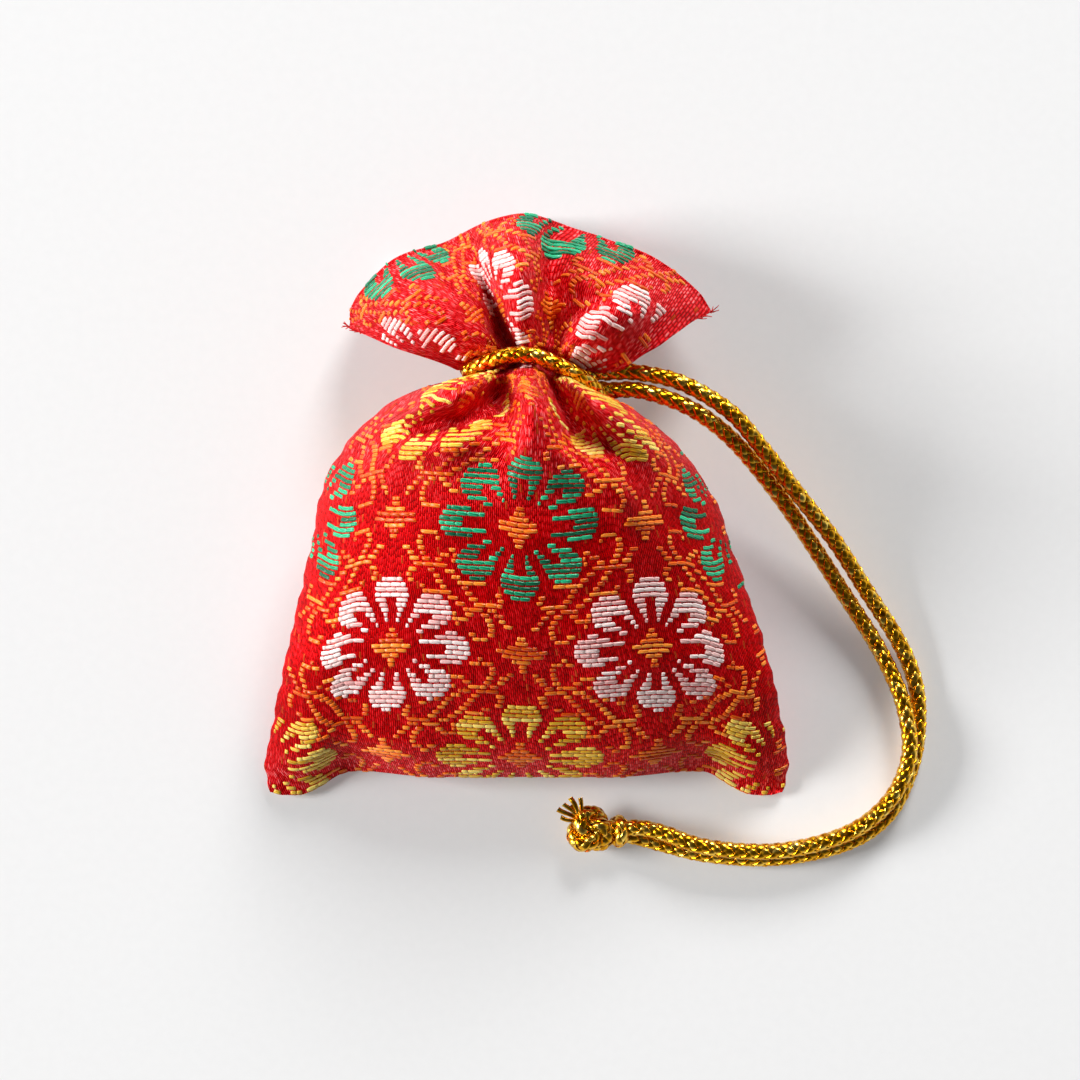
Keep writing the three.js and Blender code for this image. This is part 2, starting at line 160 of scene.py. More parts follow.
# Folds of the front below the neck and in the frill, each along a line: place, width and height
SHOULDER_FOLDS = [
    [(-2.8, 15.0, 1.4, 1.4), (-8.1, 13.0, 1.9, 3.4), (-14.5, 10.6, 2.2, 2.2), (-18.0, 8.4, 2.4, 0.5)],
    [(-2.6, 13.8, 1.0, -3.4), (-3.9, 11.5, 1.5, -7.4), (-7.1, 9.7, 1.2, -5.2), (-12.0, 8.5, 1.1, -3.0),
     (-15.5, 7.6, 1.3, -0.8)],
    [(-13.0, 6.0, 1.5, 0.8), (-6.0, 6.8, 1.6, 1.2), (-1.5, 6.0, 1.6, 0.4)],
    [(0.1, 15.0, 1.2, 1.4), (0.3, 11.0, 1.7, 2.6), (0.2, 7.0, 2.2, 1.0), (0.2, 4.6, 2.4, 0.2)],
    [(2.5, 14.6, 0.8, -2.4), (3.3, 12.2, 1.0, -4.6), (4.6, 9.6, 1.1, -3.4), (6.0, 7.2, 1.3, -1.2)],
    [(3.8, 14.8, 1.0, 1.6), (7.8, 11.6, 1.3, 3.2), (12.2, 8.4, 1.6, 2.4), (15.2, 5.4, 2.0, 0.6)],
    [(6.6, 8.6, 1.2, -1.2), (9.4, 6.6, 1.3, -1.6), (12.4, 4.2, 1.6, -0.6)],
    [(1.0, 6.0, 1.6, 0.6), (5.3, 4.6, 1.9, 1.9), (11.0, 0.6, 2.2, 2.3), (14.5, -3.0, 2.4, 0.6)],
    [(8.4, 13.8, 0.8, -1.4), (12.8, 10.8, 1.0, -1.4), (15.8, 7.6, 1.2, -0.6)],
]
FRILL_FOLDS = [
    [(-6.2, 29.5, 1.1, -1.0), (-5.0, 26.0, 0.9, -2.2), (-3.6, 22.5, 0.8, -3.0), (-2.2, 18.4, 0.7, -1.6)],
    [(-1.0, 31.0, 2.2, 1.4), (-0.7, 26.0, 1.7, 2.2), (-0.5, 18.6, 1.0, 1.0)],
    [(2.6, 30.0, 1.5, -1.6), (2.5, 25.0, 1.2, -3.6), (2.7, 18.6, 0.8, -1.8)],
    [(-4.6, 18.4, 1.4, 1.0), (-11.0, 20.4, 2.4, 2.0), (-18.0, 23.4, 2.2, 1.2)],
    [(4.8, 18.4, 1.2, 1.0), (11.0, 21.0, 2.4, 1.8), (18.0, 23.4, 2.2, 1.2)],
    [(-11.5, 28.6, 1.3, -1.2), (-8.8, 24.6, 1.2, -1.4), (-6.4, 21.0, 0.9, -0.8)],
    [(12.5, 28.0, 1.5, -1.2), (9.4, 24.6, 1.3, -1.2), (6.6, 21.6, 1.0, -0.6)],
    [(-16.0, 27.4, 1.4, 0.9), (-12.4, 24.2, 1.5, 0.7)],
    [(7.5, 30.0, 1.5, 0.9), (6.0, 25.5, 1.4, 0.8)],
]

# The filling pushes up low lumps; the tie bites into the gathers and pulls fine pleats out of them.
HOLLOW_SHARPNESS = 1.6
LUMP_HEIGHT = 0.22
TIE_REACH = 1.4
TIE_BITE = 0.16
PLEAT_REACH = 4.5
PLEAT_DEPTH = 0.3
PLEATS = 13


def ramp(value, low, high):
    part = np.clip((value - low) / (high - low), 0, 1)
    return part * part * (3 - 2 * part)


def mix(first, second, part):
    return first + (second - first) * part


# The gathers at a height: from hollow (-1) to crest (1) across the cloth, with face 1 in front and -1 behind
def gather_wave(face, across, below):
    gathers = np.array(FRONT_GATHERS if face > 0 else BACK_GATHERS, dtype=float)
    places = mix(gathers[:, 0], gathers[:, 1], below)
    after = np.clip(np.searchsorted(places, across), 1, len(places) - 1)
    part = ramp(across, places[after - 1], places[after])
    sunk = (1 - mix(gathers[after - 1, 2], gathers[after, 2], part)) / 2
    return 1 - 2 * sunk**HOLLOW_SHARPNESS


# From the middle to the side seam: straight up to the shoulder, then round in to the neck
def half_width(across, along):
    shoulder = mix(LEFT_SHOULDER, RIGHT_SHOULDER, (across + 1) / 2)
    length = along * BODY_LENGTH
    taper = BODY_LENGTH - (NECK_BASE + NECK_BAND / 2)
    corner = BASE_WIDTH / 2
    if length < taper:
        bulge = RIGHT_BULGE * math.sin(math.pi * length / taper) * (across > 0)
        tip = CORNER_ROUND * (1 - min(1, length / CORNER_REACH)) ** 2
        return np.minimum(corner, mix(corner + SEAM_START, shoulder, length / taper) + bulge) - tip
    climb = (length - taper) / (BODY_LENGTH - taper)
    roundness = mix(*SHOULDER_ROUND, (across + 1) / 2)
    return mix(NECK_WIDTH / 2, shoulder, (1 - climb**roundness) ** (1 / roundness))


# The bottom fold, which rises a little beside the corners and drops at them
def fold_line(across):
    side = np.abs(across)
    start, middle, end = DIMPLE_SPAN
    dimple = FOLD_DIMPLE * ramp(side, start, middle) * (1 - ramp(side, middle, end))
    drop = ramp(side, *CORNER_SPAN) - TIP_RISE * ramp(side, TIP_START, 1) ** 2
    return FOLD_LINE + dimple - CORNER_DROP * drop


def shoulder_fall(length):
    return max(0, 1 - (BODY_LENGTH - length) / SHOULDER_LENGTH)


# One row across the body, from the bottom fold (along 0) to the neck (along 1)
def body_row(across, face, along):
    length = along * BODY_LENGTH
    rounding = math.sqrt(max(0, 1 - (1 - min(1, length / BASE_ROUND)) ** 2))
    rise = 1 - (1 - min(1, length / BELLY_RISE)) ** BELLY_CURVE
    roll = EDGE_ROLL * (1 - min(1, length / EDGE_LENGTH)) ** 2
    fall = shoulder_fall(length)
    fullness = max(0, 1 - fall ** SHOULDER_CURVE[0]) ** SHOULDER_CURVE[1]
    spread = SHOULDER_FOLD * ramp(1 - fall, 0, SPREAD_PART) if face > 0 else 0
    gather = ramp(fall, *GATHER_SPAN) * (NECK_FOLD + spread)
    folds = gather * gather_wave(face, across, ramp(1 - fall, 0, FAN_PART))
    rim = np.sqrt(np.maximum(0, 1 - across**2))
    neck_half = NECK_THICKNESS / 2 - NECK_FOLD
    softness = ramp(along, 0, SOFT_PART)
    droop = ramp(np.abs(across), *DROOP_SPAN)
    seam = mix(mix(FOLD_HEIGHT, CORNER_HEIGHT, droop), SEAM_HEIGHT, softness)
    seam = mix(seam, NECK_HEIGHT, ramp(along, *NECK_RISE)) - roll * (1 - droop)
    if face > 0:
        bulge = mix(neck_half, BELLY_HEIGHT - SEAM_HEIGHT, fullness) * rise
        pinch = mix(mix(*FRONT_PINCH[:2], softness), FRONT_PINCH[2], ramp(fall, 0.3, 1))
        plump = CORNER_PLUMP * droop * (1 - softness) * (1 - across**6) * ramp(length, 0, PLUMP_START)
        height = seam + plump + bulge * rim ** (2 * pinch) + folds * rim
    else:
        sag = mix(neck_half, SEAM_HEIGHT + BACK_SAG, fullness) * rounding
        pinch = mix(*BACK_PINCH, softness)
        height = np.maximum(0, seam - sag * rim ** (2 * pinch) - folds * rim)
    x = across * half_width(across, along) + NECK_OFFSET * ramp(fall, 0, 1)
    neck = NECK_BASE - NECK_SKEW * across - NECK_DROOP * across**2
    y = mix(fold_line(across), neck, along)
    return np.stack([x, y, height], axis=-1)


# The stitches of the side seams pucker the edge a little, not quite evenly.
PUCKER_DEPTH = 0.07


def pucker(panel):
    y = panel[..., 1]
    edge = np.abs(np.cos(np.pi * np.linspace(0, 1, COLUMNS + 1))) ** 12
    beat = np.sin(2.9 * y) + np.sin(1.7 * y + 1.3) + np.sin(1.1 * y + 0.4 * panel[..., 0])
    return PUCKER_DEPTH * edge * beat


# One row across the frill, from the neck (along 0) to the hem (along 1); inside 1 is the turned-in lining
def frill_row(across, face, along, inside=0.0, closed=0.0, beyond=0.0):
    rim = np.sqrt(np.maximum(0, 1 - across**2))
    opened = ramp(along, 0, 1)
    wave = gather_wave(face, across, 0)
    depth = mix(NECK_FOLD, HEM_FOLD, opened)
    middle = mix(NECK_THICKNESS / 2 - NECK_FOLD, HEM_FOLD + LAYER_GAP, opened)
    half = (middle + depth * wave - inside * HEM_THICKNESS) * rim * (1 - closed)
    angle = FRILL_SPREAD * across
    reach = mix(FRILL_LENGTH, np.interp(across, LOBE_GRID, LOBES), along) * along + beyond
    flare = ramp(along, 0, FLARE_PART)
    sideways = across * (mix(NECK_WIDTH / 2, FRILL_BASE, flare) - inside * HEM_THICKNESS / 2)
    hang = mix(NECK_DROOP, FRILL_DROOP - DROOP_SKEW * across, flare)
    droop = NECK_SKEW * across * (1 - along) + hang * across**2
    x = mix(NECK_OFFSET, 0, opened) + sideways + reach * np.sin(angle)
    y = NECK_TOP - droop + reach * np.cos(angle)
    crest = NECK_HEIGHT + FRILL_HUMP * math.sin(math.pi * along) - FRILL_DROP * along**DROP_CURVE
    return np.stack([x, y, crest + face * half], axis=-1)


# What the folds add to the height: each is highest on its line and fades to both sides
def fold_lift(points, folds):
    lift = np.zeros(points.shape[:-1])
    for fold in folds:
        line = np.array(fold)
        nearest = np.full(lift.shape, 1e9)
        raised = np.zeros(lift.shape)
        for start, end in zip(line[:-1], line[1:]):
            run = end[:2] - start[:2]
            part = np.clip(((points[..., :2] - start[:2]) @ run) / (run @ run), 0, 1)
            gap = np.linalg.norm(points[..., :2] - start[:2] - part[..., None] * run, axis=-1)
            width, height = (mix(start[k], end[k], part) for k in (2, 3))
            raised = np.where(gap < nearest, height * np.exp(-((gap / width) ** 2)), raised)
            nearest = np.minimum(gap, nearest)
        lift += raised
    return lift


# Two sets of low waves, a few millimetres long, that cross each other
def lumps(points):
    x, y = points[..., 0], points[..., 1]
    broad = np.cos(x / 2.6 + y / 4.1 + 0.4) * np.cos(y / 2.9 - x / 5.3 + 1.1)
    small = np.cos(x / 1.5 - y / 2.3 + 2.0) * np.cos(y / 1.7 + x / 3.1)
    return LUMP_HEIGHT * (broad + 0.5 * small)


# How far the tie draws the cloth in, and how near its pleats are
def drawn_in(points):
    across = np.clip((points[..., 0] - NECK_OFFSET) / (NECK_WIDTH / 2), -1, 1)
    away = points[..., 1] - (NECK_BASE + NECK_BAND / 2) + NECK_SKEW * across + NECK_DROOP * across**2
    near = np.exp(-((away / TIE_REACH) ** 2))
    return 1 - TIE_BITE * near, np.exp(-((away / PLEAT_REACH) ** 2))


def pouch_panel(face):
    across = -np.cos(np.pi * np.linspace(0, 1, COLUMNS + 1))
    rim = np.sqrt(np.maximum(0, 1 - across**2))
    rows = []
    for row in range(BODY_ROWS + 1):
        rows.append(body_row(across, face, (1 - math.cos(math.pi * row / BODY_ROWS)) / 2))
    for row in range(1, NECK_ROWS + 1):
        ring = frill_row(across, face, 0.0)
        ring[:, 1] -= NECK_BAND * (1 - row / NECK_ROWS)
        rows.append(ring)
    for row in range(1, FRILL_ROWS + 1):
        rows.append(frill_row(across, face, row / FRILL_ROWS))
    for row in range(1, HEM_ROWS + 1):
        turn = math.pi * row / HEM_ROWS
        rows.append(frill_row(across, face, 1.0, (1 - math.cos(turn)) / 2, 0.0, HEM_ROUND * math.sin(turn)))
    for row in range(1, LINING_ROWS + 1):
        sunk = row / LINING_ROWS
        rows.append(frill_row(across, face, 1 - LINING_DEPTH * sunk, 1.0, sunk**6))
    panel = np.array(rows)
    body = panel[: BODY_ROWS + 1]
    neck = ramp(body[:, COLUMNS // 2, None, 1], NECK_BASE - FOLD_FADE, NECK_BASE)
    if face > 0:
        body[..., 2] += (fold_lift(body, SHOULDER_FOLDS) + lumps(body)) * (1 - neck) * rim
    else:
        body[..., 2] += np.where(body[..., 2] > LUMP_LOWEST, lumps(body) * (1 - neck) * rim, 0)
    frill = panel[BODY_ROWS + NECK_ROWS :]
    opened = ramp(frill[:, COLUMNS // 2, None, 1] - NECK_TOP, *FRILL_FADE)
    frill[..., 2] += fold_lift(frill, FRILL_FOLDS) * opened * rim
    # Where the frill comes down to the table, its layers lie on each other.
    lining = ramp(np.arange(len(frill)), FRILL_ROWS, FRILL_ROWS + HEM_ROWS)[:, None]
    stack = (3 - lining if face > 0 else lining) * HEM_THICKNESS * rim / 2
    frill[..., 2] = np.maximum(frill[..., 2], TABLE_GAP + stack)
    panel[..., 0] += pucker(panel) * np.sign(across)
    bite, near = drawn_in(panel)
    pleat = PLEAT_DEPTH * np.cos(PLEATS * math.pi * across + face) * near * rim
    panel[..., 2] = NECK_HEIGHT + (panel[..., 2] - NECK_HEIGHT) * bite + face * pleat
    panel[..., 0] = NECK_OFFSET + (panel[..., 0] - NECK_OFFSET) * bite
    panel[..., 2] = np.maximum(panel[..., 2], 0)
    return panel


# Where each point lies on the flat cloth, and how much cloth is taken in there.
# Most of what the gathers take up lies in their hollows, where the eye doesn't reach it.
HIDDEN_SPAN = (-0.7, 0.6)
HIDDEN_LEAST = 0.02
STRETCH_MOST = 0.3
TAKEN_PART = 0.5


def cloth_measure(panel, face):
    along = np.zeros(panel.shape[:2])
    along[1:] = np.cumsum(np.linalg.norm(np.diff(panel, axis=0), axis=-1), axis=0)
    neck, hem = BODY_ROWS, BODY_ROWS + NECK_ROWS + FRILL_ROWS
    gathered = FREE_CLOTH + (along - FREE_CLOTH) * (NECK_CLOTH - FREE_CLOTH) / (along[neck] - FREE_CLOTH)
    below = np.minimum(along, FREE_CLOTH) + np.maximum(0, gathered - FREE_CLOTH)
    above = NECK_CLOTH + (along - along[neck]) * (HEM_CLOTH - NECK_CLOTH) / (along[hem] - along[neck])
    along = np.where(np.arange(len(panel))[:, None] <= neck, below, above)
    edges = -np.cos(np.pi * np.arange(COLUMNS + 1) / COLUMNS)
    middle = (edges[1:] + edges[:-1]) / 2
    gathers = FRONT_GATHERS if face > 0 else BACK_GATHERS
    across = np.zeros(panel.shape[:2])
    stretch = np.ones(panel.shape[:2])
    for row, points in enumerate(panel):
        steps = np.linalg.norm(np.diff(points, axis=0), axis=-1)
        climbed = BODY_LENGTH * (1 - math.cos(math.pi * min(1, row / BODY_ROWS))) / 2
        fall = shoulder_fall(climbed)
        below = ramp(1 - fall, 0, FAN_PART)
        taken_in = ramp(fall, 0, TAKEN_PART)
        hidden = steps * (ramp(-gather_wave(face, middle, below), *HIDDEN_SPAN) + HIDDEN_LEAST)
        turned = min(1, max(0, row - BODY_ROWS) / NECK_ROWS)
        crest = mix(*gathers[MIDDLE_CREST][:2], below)
        left = middle < crest
        side_cloth = PANEL_WIDTH / 2 + np.where(left, 1, -1) * FRILL_SHIFT * turned
        side_steps = np.where(left, steps[left].sum(), steps[~left].sum())
        side_hidden = np.where(left, hidden[left].sum(), hidden[~left].sum())
        spare = np.maximum(side_cloth - side_steps, -STRETCH_MOST * side_steps)
        gathered = spare * hidden / side_hidden
        even = steps * (PANEL_WIDTH / steps.sum() - 1)
        taken = mix(even, gathered, taken_in)
        across[row, 1:] = np.cumsum(steps + taken)
        stretch[row, 1:] = 1 + taken / np.maximum(steps, 1e-6)
        across[row] -= PANEL_WIDTH / 2
    return across, along, stretch


# The flat layout of both panels fills one square: front on the left half, back on the right half.
SHEET_MARGIN = 1
SHEET_WIDTH = 2 * PANEL_WIDTH + 4 * SHEET_MARGIN
SHEET_LENGTH = 110.0


def flat_place(across, along, face):
    left = SHEET_MARGIN + PANEL_WIDTH / 2 + (0 if face > 0 else PANEL_WIDTH + 2 * SHEET_MARGIN)
    return np.stack([(across + left) / SHEET_WIDTH, (along + SHEET_MARGIN) / SHEET_LENGTH], axis=-1)


def grid_faces(rows, columns, first=0, flip=False):
    corner = first + np.arange(rows - 1)[:, None] * columns + np.arange(columns - 1)[None, :]
    quads = np.stack([corner, corner + 1, corner + columns + 1, corner + columns], axis=-1).reshape(-1, 4)
    return quads[:, ::-1] if flip else quads


# Several strips of points as one mesh, each with its place on the flat sheet and its shade
def joined(strips, flip=False):
    points, faces, places, shade = [], [], [], []
    first = 0
    for strip, place, tone in strips:
        rows, columns = strip.shape[:2]
        points.append(strip.reshape(-1, 3))
        faces.append(grid_faces(rows, columns, first, flip))
        places.append(place.reshape(-1, 2))
        shade.append(np.full(rows * columns, tone))
        first += rows * columns
    return [np.concatenate(part) for part in (points, faces, places, shade)]


def mesh_piece(name, material, points, faces, places, shade=None):
    mesh = bpy.data.meshes.new(name)
    mesh.from_pydata((np.asarray(points) * MM).tolist(), [], np.asarray(faces).tolist())
    layer = mesh.uv_layers.new(name="OFBake")
    corners = np.zeros(len(mesh.loops), dtype=np.int32)
    mesh.loops.foreach_get("vertex_index", corners)
    layer.data.foreach_set("uv", np.asarray(places)[corners].astype(np.float32).ravel())
    if shade is not None:
        tone = mesh.attributes.new("shade", "FLOAT", "POINT")
        tone.data.foreach_set("value", np.asarray(shade, dtype=np.float32))
    mesh.materials.append(material)
    mesh.shade_smooth()
    piece = bpy.data.objects.new(name, mesh)
    bpy.context.collection.objects.link(piece)
    return piece


def weld(piece, distance):
    shape = bmesh.new()
    shape.from_mesh(piece.data)
    bmesh.ops.remove_doubles(shape, verts=shape.verts, dist=distance)
    shape.to_mesh(piece.data)
    shape.free()
    piece.data.shade_smooth()


def linear(colour):
    channels = [int(colour[i : i + 2], 16) / 255 for i in (1, 3, 5)]
    return [c / 12.92 if c <= 0.04045 else ((c + 0.055) / 1.055) ** 2.4 for c in channels] + [1.0]


def add(tree, kind, inputs=None, colours=(), **settings):
    node = tree.nodes.new(kind)
    for name, value in settings.items():
        setattr(node, name, value)
    for name, value in (inputs or {}).items():
        if isinstance(value, bpy.types.Node):
            tree.links.new(value.outputs[0], node.inputs[name])
        elif isinstance(value, bpy.types.NodeSocket):
            tree.links.new(value, node.inputs[name])
        else:
            node.inputs[name].default_value = value
    for number, (place, colour) in enumerate(colours):
        elements = node.color_ramp.elements
        element = elements[number] if number < len(elements) else elements.new(place)
        element.position = place
        element.color = linear(colour)
    return node


def new_material(name):
    material = bpy.data.materials.new(name)
    material.use_nodes = True
    material.node_tree.nodes.clear()
    return material, material.node_tree


# Red silk satin, woven warp-faced: fine upright threads, each stitch leaning its own way,
# so that single stitches flash pink where they face the light and lie dark where they don't.
# Each stitch is also painted lighter along its crest and darker in the gaps between threads:
# painted highlight and painted shade of the thread relief.
# Over the filling the cloth is deep red. From the shoulders up through the frill, and along the bottom fold,
# paler pink reds are mixed in: painted sheen for the satin's highlight from the lamp behind, and at the
# bottom fold a painted reflection of the white table. Real warp threads lie about 0.1 mm apart, too fine
# to show here, so they are drawn at the spacing below.
WARP = 0.24
WARP_SLANT = 0.12
STITCH = 0.9
STITCH_ARCH = 0.45
STITCH_LEAN = 2.4
# How much lighter the stitch crests are painted than the gaps between threads: painted highlight and shade.
STITCH_RELIEF_SHADE = 0.6
STITCH_UNEVEN = (0.45, -0.05)
WEAVE_DEPTH = 0.07
# Spans of the cloth's length, in mm from the bottom fold, where painted sheen is mixed in: from the
# shoulders up, and along the bottom fold with at most the share below.
NECK_SHEEN_BAND = (35.0, 53.0)
FOLD_SHEEN_BAND = (8.5, 3.0)
FOLD_SHEEN_SHARE = 0.8
FLECK_START = 0.98
# The satin's reds, from the gaps between threads to the stitch crests, and paler pink reds that paint the
# sheen of lit satin.
BASE_REDS = [(0.08, "#760000"), (0.48, "#c40002"), (0.76, "#e80008"), (0.98, "#ff2a34")]
SHEEN_REDS = [(0.08, "#920002"), (0.42, "#da060e"), (0.7, "#fc343c"), (0.94, "#ff9492")]


def red_satin():
    material, tree = new_material("red_silk_satin")
    flat = add(tree, "ShaderNodeUVMap", uv_map="OFBake")
    sheet = (SHEET_WIDTH, SHEET_LENGTH, 1)
    cloth = add(tree, "ShaderNodeVectorMath", {0: flat, 1: sheet}, operation="MULTIPLY")
    parts = add(tree, "ShaderNodeSeparateXYZ", {0: cloth})
    leaning = {0: parts.outputs[1], 1: WARP_SLANT, 2: parts.outputs[0]}
    slant = add(tree, "ShaderNodeMath", leaning, operation="MULTIPLY_ADD")
    thread = add(tree, "ShaderNodeMath", {0: slant, 1: WARP}, operation="DIVIDE")
    number = add(tree, "ShaderNodeMath", {0: thread}, operation="FLOOR")
    inside = add(tree, "ShaderNodeMath", {0: thread}, operation="FRACT")
    pick = add(tree, "ShaderNodeMath", {0: parts.outputs[1], 1: STITCH}, operation="DIVIDE")
    start = add(tree, "ShaderNodeTexWhiteNoise", {"W": number}, noise_dimensions="1D")
    shifted = add(tree, "ShaderNodeMath", {0: pick, 1: start}, operation="ADD")
    step = add(tree, "ShaderNodeMath", {0: shifted}, operation="FRACT")
    across = add(tree, "ShaderNodeMath", {0: inside, 1: math.pi}, operation="MULTIPLY")
    round_across = add(tree, "ShaderNodeMath", {0: across}, operation="SINE")
    along = add(tree, "ShaderNodeMath", {0: step, 1: math.pi}, operation="MULTIPLY")
    arch = add(tree, "ShaderNodeMath", {0: along}, operation="SINE")
    round_along = add(tree, "ShaderNodeMath", {0: arch, 1: STITCH_ARCH}, operation="POWER")
    tube = add(tree, "ShaderNodeMath", {0: round_across, 1: round_along}, operation="MULTIPLY")
    stitch = add(tree, "ShaderNodeMath", {0: shifted}, operation="FLOOR")
    label = add(tree, "ShaderNodeCombineXYZ", {0: number, 1: stitch})
    chance = add(tree, "ShaderNodeTexWhiteNoise", {"Vector": label}, noise_dimensions="2D")
    lean = add(tree, "ShaderNodeMath", {0: chance, 1: 0.5}, operation="SUBTRACT")
    ramped = add(tree, "ShaderNodeMath", {0: lean, 1: step}, operation="MULTIPLY")
    height = add(tree, "ShaderNodeMath", {0: ramped, 1: STITCH_LEAN, 2: tube}, operation="MULTIPLY_ADD")
    single = {0: chance, 1: STITCH_UNEVEN[0], 2: STITCH_UNEVEN[1]}
    uneven = add(tree, "ShaderNodeMath", single, operation="MULTIPLY_ADD")
    # Painted highlight and shade: each stitch is painted lighter along its crest and darker towards the gaps
    # between threads, with a random tone per stitch on top.
    tone = add(tree, "ShaderNodeMath", {0: tube, 1: STITCH_RELIEF_SHADE, 2: uneven}, operation="MULTIPLY_ADD")
    base_red = add(tree, "ShaderNodeValToRGB", {0: tone}, BASE_REDS)
    sheen_red = add(tree, "ShaderNodeValToRGB", {0: tone}, SHEEN_REDS)
    # Painted sheen: pink reds are mixed in from the shoulders up through the frill, standing for the satin's
    # highlight from the lamp behind, and along the bottom fold, standing for the table's reflection.
    neck_sheen_span = {0: parts.outputs[1], 1: NECK_SHEEN_BAND[0], 2: NECK_SHEEN_BAND[1], 3: 0.0, 4: 1.0}
    neck_sheen = add(tree, "ShaderNodeMapRange", neck_sheen_span, interpolation_type="SMOOTHSTEP")
    folded = {0: parts.outputs[1], 1: FOLD_SHEEN_BAND[0], 2: FOLD_SHEEN_BAND[1], 3: 0.0, 4: FOLD_SHEEN_SHARE}
    fold_sheen = add(tree, "ShaderNodeMapRange", folded, interpolation_type="SMOOTHSTEP")
    share = add(tree, "ShaderNodeMath", {0: neck_sheen, 1: fold_sheen}, operation="MAXIMUM")
    ground = add(tree, "ShaderNodeMix", {0: share, 6: base_red, 7: sheen_red}, data_type="RGBA").outputs[2]
    fleck = add(tree, "ShaderNodeMath", {0: chance, 1: FLECK_START}, operation="GREATER_THAN")
    colour = add(tree, "ShaderNodeMix", {0: fleck, 6: ground, 7: linear("#cc441a")}, data_type="RGBA")
    bump = add(tree, "ShaderNodeBump", {"Height": height, "Strength": 1.0, "Distance": WEAVE_DEPTH * MM})
    weft_way = add(tree, "ShaderNodeTangent", direction_type="UV_MAP", uv_map="OFBake")
    inputs = {
        "Base Color": colour.outputs[2],
        "Normal": bump,
        "Tangent": weft_way,
        "Metallic": 0.25,
        "Roughness": 0.34,
        "Anisotropic": 0.5,
        "Specular IOR Level": 0.14,
        "Specular Tint": linear("#ff7078"),
    }
    shader = add(tree, "ShaderNodeBsdfPrincipled", inputs)
    add(tree, "ShaderNodeOutputMaterial", {0: shader})
    return material


# Both panels are joined where they meet, at the side seams and the bottom fold.
WELD_GAP = 0.002
panels = {face: pouch_panel(face) for face in (1, -1)}
measures = {face: cloth_measure(panels[face], face) for face in (1, -1)}
pouch_points = np.concatenate([panels[face].reshape(-1, 3) for face in (1, -1)])
pouch_places = np.concatenate([flat_place(*measures[face][:2], face).reshape(-1, 2) for face in (1, -1)])
panel_rows = len(panels[1])
pouch_faces = np.concatenate([
    grid_faces(panel_rows, COLUMNS + 1),
    grid_faces(panel_rows, COLUMNS + 1, panel_rows * (COLUMNS + 1), flip=True),
])
pouch = mesh_piece("brocade_cloth", red_satin(), pouch_points, pouch_faces, pouch_places)
weld(pouch, WELD_GAP * MM)
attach(pouch, "root")
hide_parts("brocade_pouch")

# At both ends of the hem, where the side seams stop, cut threads of the satin stand out.
FRAY_LENGTH = 1.3
FRAY_SHORTEST = 0.4
FRAY_ROOT = 0.15
FRAY_HALF = 0.09
FRAY_TAPER = 0.5
FRAY_COUNT = 11
FRAY_ROWS = 9
FRAY_ANGLES = (-35, 75)
FRAY_RISE = (-0.2, 0.5)
FRAY_BEND = 0.4
FRAY_POINTS = 6
FRAY_CELL = 0.9
LOWEST = 0.02
UP = np.array([0.0, 0.0, 1.0])


# Cut silk thread: the satin's red, duller where the ends stand loose
def red_thread():
    material, tree = new_material("red_silk_thread")
    inputs = {"Base Color": linear("#d8181a"), "Roughness": 0.45, "Specular IOR Level": 0.3}
    shader = add(tree, "ShaderNodeBsdfPrincipled", inputs)
    add(tree, "ShaderNodeOutputMaterial", {0: shader})
    return material


def frayed_threads(chance):
    strips = []
    hem = BODY_ROWS + NECK_ROWS + FRILL_ROWS + HEM_ROWS // 2
    turn = np.linspace(0, 2 * math.pi, FRAY_POINTS)[None, :, None]
    part = np.linspace(0, 1, FRAY_POINTS)[:, None]
    half = FRAY_HALF * (1 - FRAY_TAPER * part[:, None])
    ticks = np.linspace(0, FRAY_CELL, FRAY_POINTS)
    cell = np.stack(np.meshgrid(ticks, ticks, indexing="ij"), axis=-1)
    for side, outward in ((0, -1), (COLUMNS, 1)):
        for number in range(FRAY_COUNT):
            root = panels[1][hem - int(chance.integers(0, FRAY_ROWS)), side]
            angle = math.radians(chance.uniform(*FRAY_ANGLES))
            way = np.array([outward * math.cos(angle), math.sin(angle), chance.uniform(*FRAY_RISE)])
            bend = np.array([0, 1, 0]) * chance.uniform(-FRAY_BEND, FRAY_BEND)
            length = FRAY_LENGTH * chance.uniform(FRAY_SHORTEST, 1)
            spine = root - FRAY_ROOT * way + length * (part * way + part**2 * bend)
            across = np.cross(way, UP)
            across /= np.linalg.norm(across)
            ring = spine[:, None] + half * (across * np.cos(turn) + UP * np.sin(turn))
            ring[..., 2] = np.maximum(ring[..., 2], LOWEST)
            strips.append((ring, (cell + (number, side / COLUMNS)) / FRAY_COUNT, 1.0))
    return joined(strips)[:3]


fray = mesh_piece("frayed_threads", red_thread(), *frayed_threads(np.random.default_rng(3)))
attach(fray, "root")

# Brocade pattern
# Extra wefts of silk floss float over the satin in short stitches, tied down row by row.
# They weave a half-drop of eight-petalled flowers with small diamonds and scrolls between them.
FLOWER_PITCH = (14.95, 15.3)
FLOWER_HALF = (9.2, 8.6)
FIRST_ROW = 4.7
PATTERN_SHIFT = -0.6
PATTERN_REACH = PANEL_WIDTH * 0.6
PATTERN_STEP = 0.1
